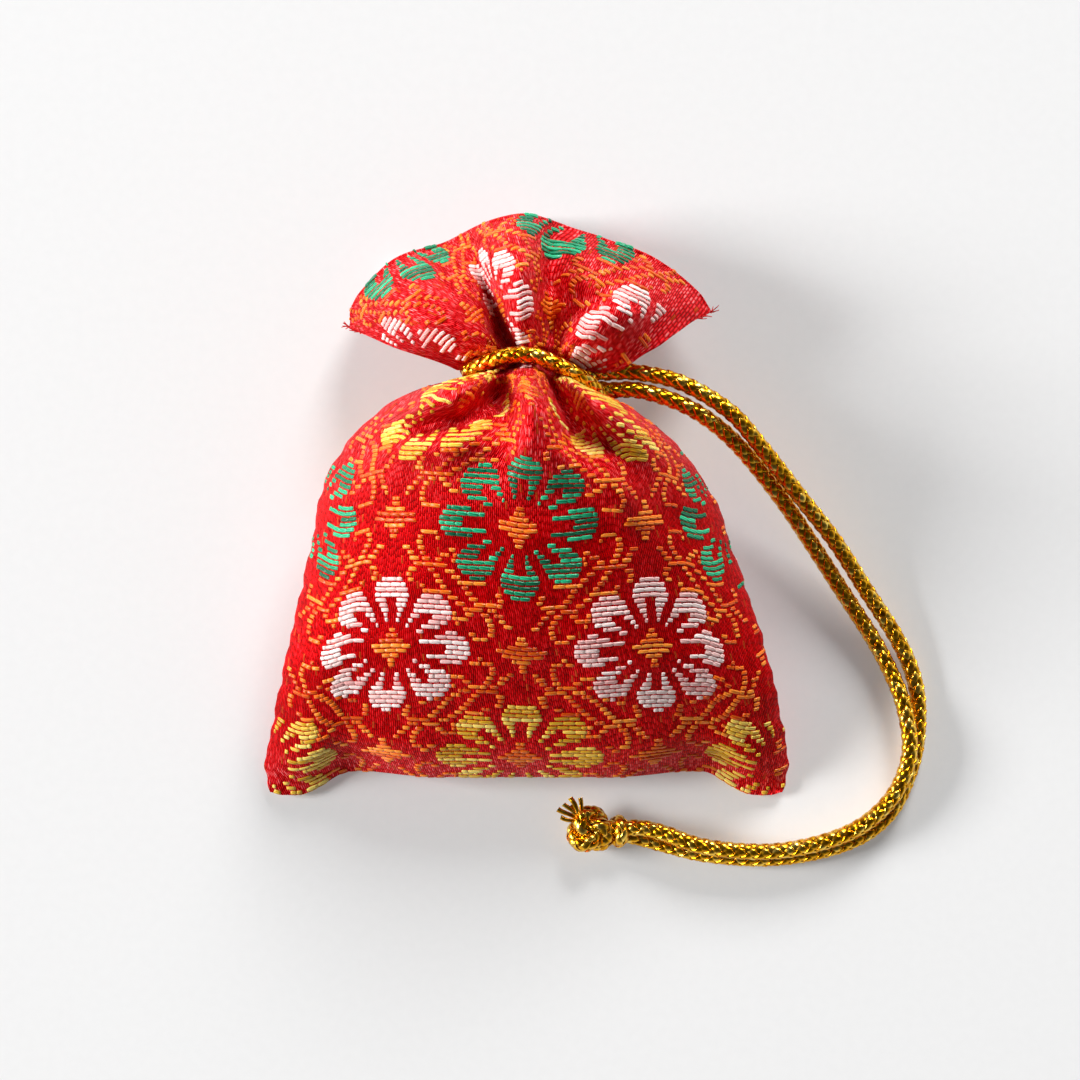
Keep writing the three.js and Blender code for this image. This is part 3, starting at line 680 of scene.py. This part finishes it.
# Wefts lie one pick apart, and a float is tied down after one float length at most.
PICK = 0.62
SHORTEST_SPAN = 0.35
SHORTEST_STITCH = 0.45
MOST_TIES = 40
LOOSE_END = 0.16
FLOAT_LENGTH = 1.3
FLOAT_HALF = 0.255
FINE_FLOAT_HALF = 0.24
FLOAT_HEIGHT = 0.19
FLOAT_SINK = 0.08
FLOAT_SIZE = (0.92, 1.08)
FLOAT_LEAN = 0.12
FLOAT_MARGIN = 0.08
DEEPEST_FOLD = 2.4
DEEPEST_CREASE = -2.4
ORANGE, YELLOW, PALE_PINK, GREEN = 1, 2, 3, 4
ROW_COLOURS = (YELLOW, PALE_PINK, GREEN)

# Half widths of the diamond between the flowers and of the heart of a flower, by height
STAR_RISE = (0.0, 0.3, 0.6, 1.15, 1.7, 2.5)
STAR_HALF = (3.05, 2.9, 2.05, 0.95, 0.5, 0.5)
HEART_HALF = (2.5, 2.3, 1.7, 1.0, 0.5, 0.45)

# One quarter of the scroll, from a diamond at the origin towards the next one: drawn as thin lines,
# then turned half round to reach the next diamond.
SCROLL_LINES = [
    [(5.6, 1.9), (4.7, 1.3), (3.6, 1.8), (3.35, 2.5), (3.4, 3.1), (3.6, 3.7), (4.0, 4.4), (4.7, 5.0),
     (6.0, 5.15), (6.9, 5.8), (7.8, 6.5), (8.4, 7.2), (8.9, 7.9), (9.5, 8.8), (10.4, 9.9)],
    [(1.4, 3.1), (2.1, 3.7), (2.5, 4.4), (3.4, 5.1)],
    [(4.1, 5.5), (2.9, 5.5), (2.2, 6.1), (2.2, 6.6), (2.5, 7.2)],
    [(3.9, 7.9), (4.6, 8.5), (5.9, 8.4)],
    [(5.6, 4.8), (6.3, 4.0), (7.3, 3.5), (8.1, 4.0), (7.6, 4.7)],
]
SCROLL_HALF = (0.4, 0.32)

# One petal, in shares of the flower's half width: it widens to a round end and is slit up its middle.
PETAL_LINE = (0.3, 0.76)
PETAL_WIDE = (0.07, 0.245)
PETAL_START = 0.34
PETAL_END = 0.755
SLIT_END = 0.68
SLIT_HALF = 0.06


def flower_parts(across, along):
    x, y = across / FLOWER_HALF[0], along / FLOWER_HALF[1]
    angle = np.arctan2(y, x)
    lean = angle - np.round(angle / (math.pi / 4)) * (math.pi / 4)
    radius = np.hypot(x, y)
    out, aside = radius * np.cos(lean), np.abs(radius * np.sin(lean))
    petal = (out > PETAL_START) & (out < PETAL_LINE[1]) & (aside < np.interp(out, PETAL_LINE, PETAL_WIDE))
    petal |= np.hypot(out - PETAL_END, aside) < PETAL_WIDE[1]
    slit = (out < SLIT_END) & (aside < SLIT_HALF)
    heart = np.abs(across) < np.interp(np.abs(along), STAR_RISE, HEART_HALF, right=0)
    return petal & ~slit, heart


def scroll(across, along):
    u, v = np.abs(across), np.abs(along)
    marked = u < np.interp(v, STAR_RISE, STAR_HALF, right=0)
    scale = np.array(SCROLL_HALF)
    for line in SCROLL_LINES:
        knots = np.array(line)
        for route in (knots, np.array(FLOWER_PITCH) - knots):
            for start, end in zip(route[:-1] / scale, route[1:] / scale):
                run = end - start
                x, y = u / scale[0] - start[0], v / scale[1] - start[1]
                part = np.clip((x * run[0] + y * run[1]) / (run @ run), 0, 1)
                marked |= np.hypot(x - part * run[0], y - part * run[1]) < 1
    return marked


# Which floss shows at a place on the flat cloth, 0 where the satin does
def pattern_colour(across, along):
    across = across - PATTERN_SHIFT
    along = along - FIRST_ROW
    column = np.round(across / FLOWER_PITCH[0])
    row = np.round(along / FLOWER_PITCH[1])
    x = across - column * FLOWER_PITCH[0]
    y = along - row * FLOWER_PITCH[1]
    odd = (column + row) % 2 == 1
    away = np.where(odd, x, np.where(x > 0, x - FLOWER_PITCH[0], x + FLOWER_PITCH[0]))
    colour = np.where(scroll(away, y), ORANGE, 0)
    for right in (-1, 0, 1):
        for up in (-1, 0, 1):
            flower = (column + row + right + up) % 2 == 0
            petal, heart = flower_parts(x - right * FLOWER_PITCH[0], y - up * FLOWER_PITCH[1])
            thread = np.array(ROW_COLOURS)[((row + up) % len(ROW_COLOURS)).astype(int)]
            colour = np.where(flower & petal, thread, colour)
            colour = np.where(flower & heart, ORANGE, colour)
    return colour


# The spans of one weft, each with its colour
def float_spans(along):
    samples = np.arange(-PATTERN_REACH, PATTERN_REACH, PATTERN_STEP) + PATTERN_STEP / 2
    colours = pattern_colour(samples, np.full(samples.shape, along))
    edges = np.concatenate([[0], np.flatnonzero(np.diff(colours)) + 1, [len(samples)]])
    for first, last in zip(edges[:-1], edges[1:]):
        start, end = samples[first] - PATTERN_STEP / 2, samples[last - 1] + PATTERN_STEP / 2
        if colours[first] and end - start > SHORTEST_SPAN:
            yield colours[first], start, end


# A stitch's section across its back, and its width and height from one end to the other.
# Where it meets the next stitch of its span, the floss only dips to the tie between them.
SECTION_WIDE = np.array([-1.0, -0.84, 0.0, 0.84, 1.0])
SECTION_HIGH = np.array([0.0, 0.82, 1.0, 0.82, 0.0])
STITCH_PLACES = np.array([0.0, 0.08, 0.3, 0.7, 0.92, 1.0])
STITCH_WIDE = np.array([0.8, 0.95, 1.0, 1.0, 0.95, 0.8])
STITCH_HIGH = np.array([0.05, 0.6, 1.0, 1.0, 0.6, 0.05])
TIED_HIGH = np.array([0.6, 0.85])


def panel_normals(panel, face):
    normals = np.cross(np.gradient(panel, axis=1), np.gradient(panel, axis=0)) * face
    return normals / np.maximum(1e-9, np.linalg.norm(normals, axis=-1, keepdims=True))


# The stitches of one span, tied in brick order: every other weft half a stitch further on
def stitches(start, end, number):
    offset = 0.5 * (number % 2)
    first = math.ceil(start / FLOAT_LENGTH - offset - 1e-6)
    ties = (np.arange(first, first + MOST_TIES) + offset) * FLOAT_LENGTH
    ties = ties[(ties > start + SHORTEST_STITCH) & (ties < end - SHORTEST_STITCH)]
    marks = np.concatenate([[start], ties, [end]])
    return zip(marks[:-1], marks[1:])


# Every weft of a panel, laid on the cloth; what lies deep in a fold or crease is hidden and left out.
def weave_floats(face, floats, chance):
    panel, (across, along, stretch) = panels[face], measures[face]
    rows = np.arange(BODY_ROWS + NECK_ROWS + FRILL_ROWS + HEM_ROWS // 2 + 1)
    columns = np.arange(COLUMNS + 1)
    picks = np.arange(PICK / 2, HEM_CLOTH + 0.5, PICK)
    levels = np.stack([np.interp(picks, along[rows, column], rows) for column in columns], axis=1)
    lower = np.minimum(levels.astype(int), rows[-1] - 1)
    part = (levels - lower)[..., None]
    sunk = fold_lift(panel, SHOULDER_FOLDS if face > 0 else [])
    cloth = np.stack([across, stretch, sunk], axis=-1)
    fields = np.concatenate([panel, panel_normals(panel, face), cloth], axis=-1)
    lines = fields[lower, columns] * (1 - part) + fields[lower + 1, columns] * part
    for number, (pick, line) in enumerate(zip(picks, lines)):
        where, stretched, creased = np.maximum.accumulate(line[:, 6]), line[:, 7], line[:, 8]
        for colour, start, end in float_spans(pick * face):
            start, end = np.array([start, end]) + (chance.random(2) - 0.5) * LOOSE_END
            folded = np.interp((start + end) / 2, where, stretched) > DEEPEST_FOLD
            if folded or start < where[0] or end > where[-1]:
                continue
            feel = chance.random(3)
            for first, last in stitches(start, end, number):
                if np.interp((first + last) / 2, where, creased) < DEEPEST_CREASE:
                    continue
                places = first + (last - first) * STITCH_PLACES
                points = np.stack([np.interp(places, where, line[:, k]) for k in range(6)], axis=-1)
                high = STITCH_HIGH.copy()
                if first > start:
                    high[:2] = TIED_HIGH
                if last < end:
                    high[-2:] = TIED_HIGH[::-1]
                floats[colour].append((points, high, feel))


def float_mesh(runs, half):
    strips = []
    cells = math.ceil(math.sqrt(len(runs)))
    ticks = [np.linspace(0, 1, len(line)) for line in (STITCH_PLACES, SECTION_WIDE)]
    inside = FLOAT_MARGIN + (1 - 2 * FLOAT_MARGIN) * np.stack(np.meshgrid(*ticks, indexing="ij"), axis=-1)
    for number, (line, high, (plump, tone, lean)) in enumerate(runs):
        normals = line[:, 3:] / np.linalg.norm(line[:, 3:], axis=-1, keepdims=True)
        forward = np.gradient(line[:, :3], axis=0)
        forward /= np.maximum(1e-9, np.linalg.norm(forward, axis=-1, keepdims=True))
        sides = np.cross(normals, forward)
        size = mix(*FLOAT_SIZE, plump)
        aside = half * size * STITCH_WIDE[:, None, None] * SECTION_WIDE[None, :, None]
        up = FLOAT_HEIGHT * size * high[:, None, None] * SECTION_HIGH[None, :, None] - FLOAT_SINK
        up = up + FLOAT_LEAN * (lean - 0.5) * aside / half
        ring = line[:, None, :3] + sides[:, None] * aside + normals[:, None] * up
        ring[..., 2] = np.maximum(ring[..., 2], LOWEST)
        strips.append((ring, (np.array([number % cells, number // cells]) + inside) / cells, tone))
    return joined(strips, flip=True), cells


# Silk floss, loosely twisted: each stitch is a bundle of fine filaments with a soft shine along its back.
# The filaments are too fine to show here, so three or four thicker ones are drawn across a stitch.
FILAMENTS = 26.0
FILAMENT_TWIST = 7.0
FILAMENT_TONE = 0.16
FILAMENT_DEPTH = 0.03
STITCH_TONES = (0.22, 0.6)


def silk_floss(name, cells, dark, middle, bright):
    material, tree = new_material(name)
    flat = add(tree, "ShaderNodeUVMap", uv_map="OFBake")
    scaled = add(tree, "ShaderNodeVectorMath", {0: flat, 1: (cells, cells, 1)}, operation="MULTIPLY")
    local = add(tree, "ShaderNodeVectorMath", {0: scaled}, operation="FRACTION")
    parts = add(tree, "ShaderNodeSeparateXYZ", {0: local})
    twist = add(tree, "ShaderNodeMath", {0: parts.outputs[0], 1: FILAMENT_TWIST}, operation="MULTIPLY")
    winding = {0: parts.outputs[1], 1: FILAMENTS, 2: twist}
    turn = add(tree, "ShaderNodeMath", winding, operation="MULTIPLY_ADD")
    strand = add(tree, "ShaderNodeMath", {0: turn}, operation="SINE")
    shade = add(tree, "ShaderNodeAttribute", attribute_name="shade")
    stitch = {0: shade.outputs[2], 1: STITCH_TONES[1], 2: STITCH_TONES[0]}
    light = add(tree, "ShaderNodeMath", stitch, operation="MULTIPLY_ADD")
    tone = add(tree, "ShaderNodeMath", {0: strand, 1: FILAMENT_TONE, 2: light}, operation="MULTIPLY_ADD")
    colour = add(tree, "ShaderNodeValToRGB", {0: tone}, [(0.1, dark), (0.5, middle), (0.95, bright)])
    bump = add(tree, "ShaderNodeBump", {"Height": strand, "Strength": 0.5, "Distance": FILAMENT_DEPTH * MM})
    inputs = {
        "Base Color": colour,
        "Normal": bump,
        "Roughness": 0.3,
        "Specular IOR Level": 0.35,
        "Sheen Weight": 0.02,
        "Sheen Roughness": 0.4,
    }
    shader = add(tree, "ShaderNodeBsdfPrincipled", inputs)
    add(tree, "ShaderNodeOutputMaterial", {0: shader})
    return material


FLOSS = {
    ORANGE: ("orange_silk_floss", "#c23800", "#f66a06", "#ffa63a"),
    YELLOW: ("yellow_silk_floss", "#b47a0a", "#f6c02e", "#fff088"),
    PALE_PINK: ("pale_pink_silk_floss", "#ec9c9a", "#fdd2cc", "#fff6f2"),
    GREEN: ("green_silk_floss", "#02442e", "#068458", "#34d89c"),
}

floats = {colour: [] for colour in FLOSS}
woven = np.random.default_rng(7)
for face in (1, -1):
    weave_floats(face, floats, woven)
for colour, (name, *tones) in FLOSS.items():
    half = FINE_FLOAT_HALF if colour == ORANGE else FLOAT_HALF
    stitched, cells = float_mesh(floats[colour], half)
    floss = silk_floss(name, cells, *tones)
    piece = mesh_piece("floats_" + name.split("_silk")[0], floss, *stitched)
    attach(piece, "root")

# Neck tie
# A gold cord runs once round the neck, is hitched at the right and bites into the gathers.
# It is a round braid of eight flat threads of gold film over a dark cotton core.
BRAID_STRANDS = 4
BRAID_PITCH = 5.6
BRAID_RADIUS = 0.74
BRAID_WAVE = 0.1
BRAID_MARGIN = 0.06
STRAND_HALF = (0.44, 0.15)
STRAND_STEP = 0.16
STRAND_SIDES = 6
CORE_INSET = 0.12
CORE_SIDES = 8

# The shade tells the film threads from the core.
FILM, CORE = 0.5, -1.0

TIE_ROUTE = [
    (-6.3, 15.3, 12.0), (-4.0, 16.35, 14.0), (-1.55, 16.9, 15.2), (1.0, 16.8, 15.6),
    (3.25, 15.9, 15.3), (5.3, 14.9, 14.7), (7.0, 13.85, 13.6), (8.1, 12.7, 12.2),
    (8.4, 12.0, 10.5), (7.5, 12.8, 8.2), (4.0, 14.8, 6.4), (0.0, 16.0, 6.2),
    (-4.0, 16.2, 7.4), (-6.2, 15.6, 9.8),
]


# A smooth curve through the given points, in even steps, with its length
def smooth_route(route, step, closed=False):
    knots = np.array(route, dtype=float)
    before = np.roll(knots, 1, axis=0) if closed else np.vstack([2 * knots[0] - knots[1], knots[:-1]])
    after = np.roll(knots, -1, axis=0) if closed else np.vstack([knots[1:], 2 * knots[-1] - knots[-2]])
    slopes = (after - before) / 2
    ends = np.roll(knots, -1, axis=0), np.roll(slopes, -1, axis=0)
    spans = len(knots) if closed else len(knots) - 1
    fine = np.linspace(0, 1, 60, endpoint=False)[:, None]
    dense = []
    for k in range(spans):
        first, last, rise, fall = knots[k], ends[0][k], slopes[k], ends[1][k]
        dense.append(
            (2 * fine**3 - 3 * fine**2 + 1) * first + (fine**3 - 2 * fine**2 + fine) * rise
            + (3 * fine**2 - 2 * fine**3) * last + (fine**3 - fine**2) * fall
        )
    dense = np.vstack(dense + [knots[:1] if closed else knots[-1:]])
    gone = np.concatenate([[0], np.cumsum(np.linalg.norm(np.diff(dense, axis=0), axis=1))])
    count = max(4, round(gone[-1] / step))
    marks = np.linspace(0, gone[-1], count + 1)
    return np.stack([np.interp(marks, gone, dense[:, k]) for k in range(3)], axis=-1), gone[-1]


# Two directions square to the route at each of its points, carried along without twist
def route_frames(points):
    runs = np.gradient(points, axis=0)
    runs /= np.linalg.norm(runs, axis=1, keepdims=True)
    sides = np.zeros_like(points)
    side = np.cross(runs[0], UP)
    if np.linalg.norm(side) < 0.1:
        side = np.cross(runs[0], (1.0, 0.0, 0.0))
    for k, run in enumerate(runs):
        side = side - run * (side @ run)
        side = side / np.linalg.norm(side)
        sides[k] = side
    return sides, np.cross(runs, sides)


def tube(centres, sides, ups, wide, high, count):
    turn = np.linspace(0, 2 * math.pi, count + 1)[None, :, None]
    return centres[:, None] + wide * sides[:, None] * np.cos(turn) + high * ups[:, None] * np.sin(turn)


def strip_place(along, columns, number, count, margin):
    across = (number + margin + (1 - 2 * margin) * np.linspace(0, 1, columns)) / count
    return np.stack(np.meshgrid(along, across, indexing="ij"), axis=-1)


# Half of the threads wind one way and half the other, and weave over and under where they cross.
def braid(route, closed=False, radius=BRAID_RADIUS):
    centres, length = smooth_route(route, STRAND_STEP, closed)
    pitch = length / max(1, round(length / BRAID_PITCH)) if closed else BRAID_PITCH
    sides, ups = route_frames(centres)
    gone = np.linspace(0, length, len(centres))
    wave = BRAID_WAVE * np.cos(2 * BRAID_STRANDS * math.pi * gone / pitch)
    sheet = 2 * BRAID_STRANDS + 1
    strips = []
    for number in range(2 * BRAID_STRANDS):
        way = 1 if number < BRAID_STRANDS else -1
        turned = way * gone / pitch + (number % BRAID_STRANDS) / BRAID_STRANDS
        angle = 2 * math.pi * turned[:, None]
        outward = sides * np.cos(angle) + ups * np.sin(angle)
        spine = centres + outward * (radius + way * wave)[:, None]
        run = np.gradient(spine, axis=0)
        run /= np.linalg.norm(run, axis=1, keepdims=True)
        strand = tube(spine, np.cross(outward, run), outward, *STRAND_HALF, STRAND_SIDES)
        place = strip_place(gone / length, STRAND_SIDES + 1, number, sheet, BRAID_MARGIN)
        strips.append((strand, place, FILM))
    core = tube(centres, sides, ups, radius - CORE_INSET, radius - CORE_INSET, CORE_SIDES)
    place = strip_place(gone / length, CORE_SIDES + 1, sheet - 1, sheet, BRAID_MARGIN)
    strips.append((core, place, CORE))
    return joined(strips), centres, length


# Gold film thread, slit flat and plaited: mirror-bright facets with dark brown gaps between them.
# The film is creased about every millimetre, so each facet glints by itself.
CRINKLE_LENGTH = 0.9
CRINKLES_ACROSS = 1.2
CRINKLE_DEPTH = 0.3
GOLDS = [(0.0, "#3c1a02"), (0.3, "#bc7606"), (0.5, "#f2b01c"), (0.72, "#ffe070")]


def gold_braid(name, length):
    material, tree = new_material(name)
    flat = add(tree, "ShaderNodeUVMap", uv_map="OFBake")
    scale = (length / CRINKLE_LENGTH, (2 * BRAID_STRANDS + 1) * CRINKLES_ACROSS, 1)
    place = add(tree, "ShaderNodeVectorMath", {0: flat, 1: scale}, operation="MULTIPLY")
    crinkle = add(tree, "ShaderNodeTexNoise", {"Vector": place, "Scale": 1.0, "Detail": 2.0})
    shade = add(tree, "ShaderNodeAttribute", attribute_name="shade")
    film = add(tree, "ShaderNodeMath", {0: shade.outputs[2], 1: (FILM + CORE) / 2}, operation="GREATER_THAN")
    tone = add(tree, "ShaderNodeMath", {0: crinkle, 1: film}, operation="MULTIPLY")
    colour = add(tree, "ShaderNodeValToRGB", {0: tone}, GOLDS)
    bump = add(tree, "ShaderNodeBump", {"Height": crinkle, "Strength": 0.6, "Distance": CRINKLE_DEPTH * MM})
    inputs = {"Base Color": colour, "Normal": bump, "Metallic": film, "Roughness": 0.26}
    shader = add(tree, "ShaderNodeBsdfPrincipled", inputs)
    add(tree, "ShaderNodeOutputMaterial", {0: shader})
    return material


plait, centres, length = braid(TIE_ROUTE, closed=True)
tie = mesh_piece("gold_neck_tie", gold_braid("gold_film_tie_braid", length), *plait)
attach(tie, "root")
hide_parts("neck_tie")

# End knot
# Both ends of the cord are tied in one overhand knot, drawn tight, with the cut ends left as a tuft.
# The film threads come unlaid there and stand apart in flat strips.
KNOT_PLACE = np.array([7.4, -37.2, 2.2])
KNOT_REACH = 1.75
KNOT_LOBES = (0.72, 0.42)
KNOT_TURN = math.radians(30)
KNOT_RISE = 0.85
KNOT_RADIUS = 0.72
COLLAR_PLACE = np.array([10.6, -37.3, 1.9])
COLLAR_HALF = 0.95
COLLAR_SLANT = 0.35
TUFT_DIRECTION = math.radians(129)
TUFT_ROOT = (1.5, 0.75)
TUFT_LIFT = 0.4
TUFT_ARCH = 2.2
TUFT_WAVE = 0.12
TUFT_FLARE = (0.75, 0.35)
TUFT_LENGTH = 3
TUFT_POINTS = 9
TUFT_MARGIN = 0.1
# A strip's section, then each strip: its turn from the tuft's direction, length, width and rise
TUFT_SECTION = ((1, -0.05), (1, 0.05), (0, 0.11), (-1, 0.05), (-1, -0.05), (0, 0.01), (1, -0.05))
TUFT_STRIPS = (
    (-0.42, 2.6, 0.5, 0.5), (-0.14, 3.0, 0.55, 0.9), (0.12, 2.9, 0.5, 0.6), (0.34, 3.1, 0.55, 0.3),
    (0.55, 2.5, 0.5, 0.5), (0.0, 2.2, 0.6, 0.2),
)


def knot_route():
    turn = 2 * math.pi * np.arange(60) / 60
    reach = KNOT_REACH * (KNOT_LOBES[0] + KNOT_LOBES[1] * np.cos(3 * turn))
    x = reach * np.cos(2 * turn - KNOT_TURN)
    y = reach * np.sin(2 * turn - KNOT_TURN)
    return np.stack([x, y, KNOT_RISE * np.sin(3 * turn)], axis=-1) + KNOT_PLACE


def collar_route():
    turn = 2 * math.pi * np.arange(16) / 16
    ring = [COLLAR_SLANT * np.sin(turn), COLLAR_HALF * np.cos(turn), COLLAR_HALF * np.sin(turn)]
    return np.stack(ring, axis=-1) + COLLAR_PLACE


def film_strips():
    strips = []
    part = np.linspace(0, 1, TUFT_POINTS)
    middle = np.array([math.cos(TUFT_DIRECTION), math.sin(TUFT_DIRECTION), 0])
    for number, (turn, length, width, rise) in enumerate(TUFT_STRIPS):
        way = np.array([math.cos(TUFT_DIRECTION + turn), math.sin(TUFT_DIRECTION + turn), 0])
        side = np.array([-way[1], way[0], 0])
        root = KNOT_PLACE + TUFT_ROOT[0] * middle + TUFT_ROOT[1] * math.sin(turn) * side
        spine = root + part[:, None] * length * way
        spine[:, 2] += TUFT_LIFT + rise * np.sin(part * TUFT_ARCH)
        spine += side * (TUFT_WAVE * np.sin(5 * part + number))[:, None]
        half = width / 2 * (TUFT_FLARE[0] + TUFT_FLARE[1] * part[:, None])
        strip = np.stack([spine + side * half * a + UP * b for a, b in TUFT_SECTION], axis=1)
        place = strip_place(part, len(TUFT_SECTION), number, len(TUFT_STRIPS), TUFT_MARGIN)
        strips.append((strip, place, FILM))
    return joined(strips)


knot_pieces = []
for name, route in (("gold_end_knot", knot_route()), ("gold_knot_collar", collar_route())):
    plait, centres, length = braid(route, closed=True, radius=KNOT_RADIUS)
    knot_pieces.append(mesh_piece(name, gold_braid("gold_film_knot_braid", length), *plait))
knot_pieces.append(mesh_piece("gold_film_tuft", gold_braid("gold_film_strip", TUFT_LENGTH), *film_strips()))
for piece in knot_pieces:
    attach(piece, "root")
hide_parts("end_knot")

# Free cord
# Both ends of the tie run side by side from the hitch, off the shoulder and round on the table.
# They are the same gold braid, soft enough to lie in one long curve, and end in a shared knot.
OUTER_RUN = [
    (5.2, 15.0, 11.6), (9.0, 15.1, 10.4), (12.6, 15.1, 9.9), (17.7, 13.9, 9.8), (23.1, 10.7, 9.2),
    (26.8, 6.6, 8.0), (31.1, 1.25, 6.2), (35.3, -4.0, 4.4), (38.9, -9.5, 2.9), (42.5, -15.0, 1.7),
    (44.4, -19.1, 1.1), (45.1, -22.8, 0.9), (44.9, -27.4, 0.9), (43.8, -31.4, 0.9), (41.9, -35.1, 0.9),
    (38.6, -37.9, 0.9), (33.6, -39.7, 0.9), (27.3, -40.5, 0.9), (20.5, -40.0, 0.9), (15.9, -38.9, 0.9),
    (13.4, -38.2, 1.0), (11.2, -37.7, 1.5), (8.6, -37.4, 1.9),
]
INNER_RUN = [
    (6.0, 13.6, 11.2), (9.2, 13.1, 10.2), (12.6, 13.1, 9.8), (16.8, 11.9, 9.5), (20.4, 10.0, 8.8),
    (24.2, 6.8, 7.4), (28.8, 1.3, 5.4), (32.5, -4.0, 3.9), (36.1, -9.5, 2.7), (39.7, -15.0, 1.9),
    (41.9, -19.1, 1.9), (43.3, -22.8, 2.4), (44.0, -27.4, 2.9), (43.2, -31.1, 2.9), (41.2, -34.3, 2.9),
    (37.8, -37.0, 2.9), (32.9, -38.8, 2.9), (27.2, -39.6, 2.9), (20.4, -39.0, 2.9), (15.9, -37.5, 2.8),
    (13.4, -36.9, 2.7), (11.2, -36.9, 2.5), (8.6, -37.0, 2.4),
]

for name, route, node in (
    ("gold_cord_outer", OUTER_RUN, "cord_run_outer"),
    ("gold_cord_inner", INNER_RUN, "cord_run_inner"),
):
    plait, centres, length = braid(route)
    cord = mesh_piece(name, gold_braid("gold_film_braid", length), *plait)
    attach(cord, "root")
    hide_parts(node)

# Table and light
# The sachet lies on a smooth white board. One large soft lamp stands low behind the frill
# and a second one to the left of the sachet. White walls all round fill the shadows.
FLOOR_HALF = 1.5

# Painted board, matt white: a very faint grain, about a millimetre wide so that it shows.
# A share of plain white, seen by the camera and in reflections but lighting nothing, keeps it pale.
BOARD_GRAIN = 900.0
FLOOR_GLOW = 0.2


def white_board():
    material, tree = new_material("matt_white_board")
    place = add(tree, "ShaderNodeNewGeometry")
    grain = add(tree, "ShaderNodeTexNoise", {"Vector": place, "Scale": BOARD_GRAIN, "Detail": 2.0})
    colour = add(tree, "ShaderNodeValToRGB", {0: grain}, [(0.3, "#e5e5e5"), (0.7, "#e7e7e7")])
    board = add(tree, "ShaderNodeBsdfPrincipled", {"Base Color": colour, "Roughness": 0.85})
    white = add(tree, "ShaderNodeEmission", {"Color": linear("#f8f8f8"), "Strength": 1.0})
    path = add(tree, "ShaderNodeLightPath")
    seen = add(tree, "ShaderNodeMath", {0: path.outputs[0], 1: path.outputs[3]}, operation="MAXIMUM")
    share = add(tree, "ShaderNodeMath", {0: seen, 1: FLOOR_GLOW}, operation="MULTIPLY")
    both = add(tree, "ShaderNodeMixShader", {0: share, 1: board, 2: white})
    add(tree, "ShaderNodeOutputMaterial", {0: both})
    return material


corners = np.array([(-1, -1, 0), (1, -1, 0), (1, 1, 0), (-1, 1, 0)]) * FLOOR_HALF / MM
square = [(0, 0), (1, 0), (1, 1), (0, 1)]
floor = mesh_piece("table_board", white_board(), corners, [(0, 1, 2, 3)], square)

# The walls are brightest towards the window behind the frill at the upper left;
# straight above, where the camera hangs, the room is dark.
WINDOW_TOWARDS = (-0.45, 0.89, 0.0)
WINDOW_LIGHT = 1.1
WINDOW_SPREAD = 2.0
WALL_LIGHT = 0.9
WALL_FADE = 3.5
CEILING_LIGHT = 0.04
world = bpy.data.worlds.new("white_room")
bpy.context.scene.world = world
world.use_nodes = True
room = world.node_tree
room.nodes.clear()
direction = add(room, "ShaderNodeTexCoord")
height = add(room, "ShaderNodeSeparateXYZ", {0: direction})
overhead = {0: 1.0, 1: height.outputs[2]}
below = add(room, "ShaderNodeMath", overhead, operation="SUBTRACT", use_clamp=True)
wall = add(room, "ShaderNodeMath", {0: below, 1: WALL_FADE}, operation="POWER")
facing = add(room, "ShaderNodeVectorMath", {0: direction, 1: WINDOW_TOWARDS}, operation="DOT_PRODUCT")
window = add(room, "ShaderNodeMath", {0: facing.outputs[1], 1: 0.5, 2: 0.5}, operation="MULTIPLY_ADD")
spread = add(room, "ShaderNodeMath", {0: window, 1: WINDOW_SPREAD}, operation="POWER")
light = {0: spread, 1: WINDOW_LIGHT, 2: WALL_LIGHT}
share = add(room, "ShaderNodeMath", light, operation="MULTIPLY_ADD")
bright = add(room, "ShaderNodeMath", {0: wall, 1: share, 2: CEILING_LIGHT}, operation="MULTIPLY_ADD")
sky = add(room, "ShaderNodeBackground", {"Color": (1, 1, 1, 1), "Strength": bright})
add(room, "ShaderNodeOutputWorld", {0: sky})

# Each lamp: its direction from the sachet, its size in metres and its power in watts
LAMP_DISTANCE = 2.4
LAMPS = (
    ("lamp_behind", (0.26, 0.85, 0.46), 0.84, 60.0),
    ("lamp_left", (-0.92, 0.06, 0.42), 0.8, 77.0),
)
for name, towards, size, power in LAMPS:
    lamp_data = bpy.data.lights.new(name, "AREA")
    lamp_data.shape = "SQUARE"
    lamp_data.size = size
    lamp_data.energy = power
    lamp = bpy.data.objects.new(name, lamp_data)
    lamp.location = (np.array(towards) / np.linalg.norm(towards) * LAMP_DISTANCE).tolist()
    lamp.rotation_euler = (-lamp.location).to_track_quat("-Z", "Y").to_euler()
    bpy.context.collection.objects.link(lamp)

# The camera looks straight down at the middle of the photograph.
LENS = 161.4
SENSOR = 36.0
LENS_PLACE = (0.00159, -0.00386, 0.558)
camera_data = bpy.data.cameras.new("camera")
camera_data.sensor_width = SENSOR
camera_data.lens = LENS
camera = bpy.data.objects.new("camera", camera_data)
camera.location = LENS_PLACE
bpy.context.collection.objects.link(camera)
bpy.context.scene.camera = camera
bpy.context.scene.view_settings.view_transform = "Standard"
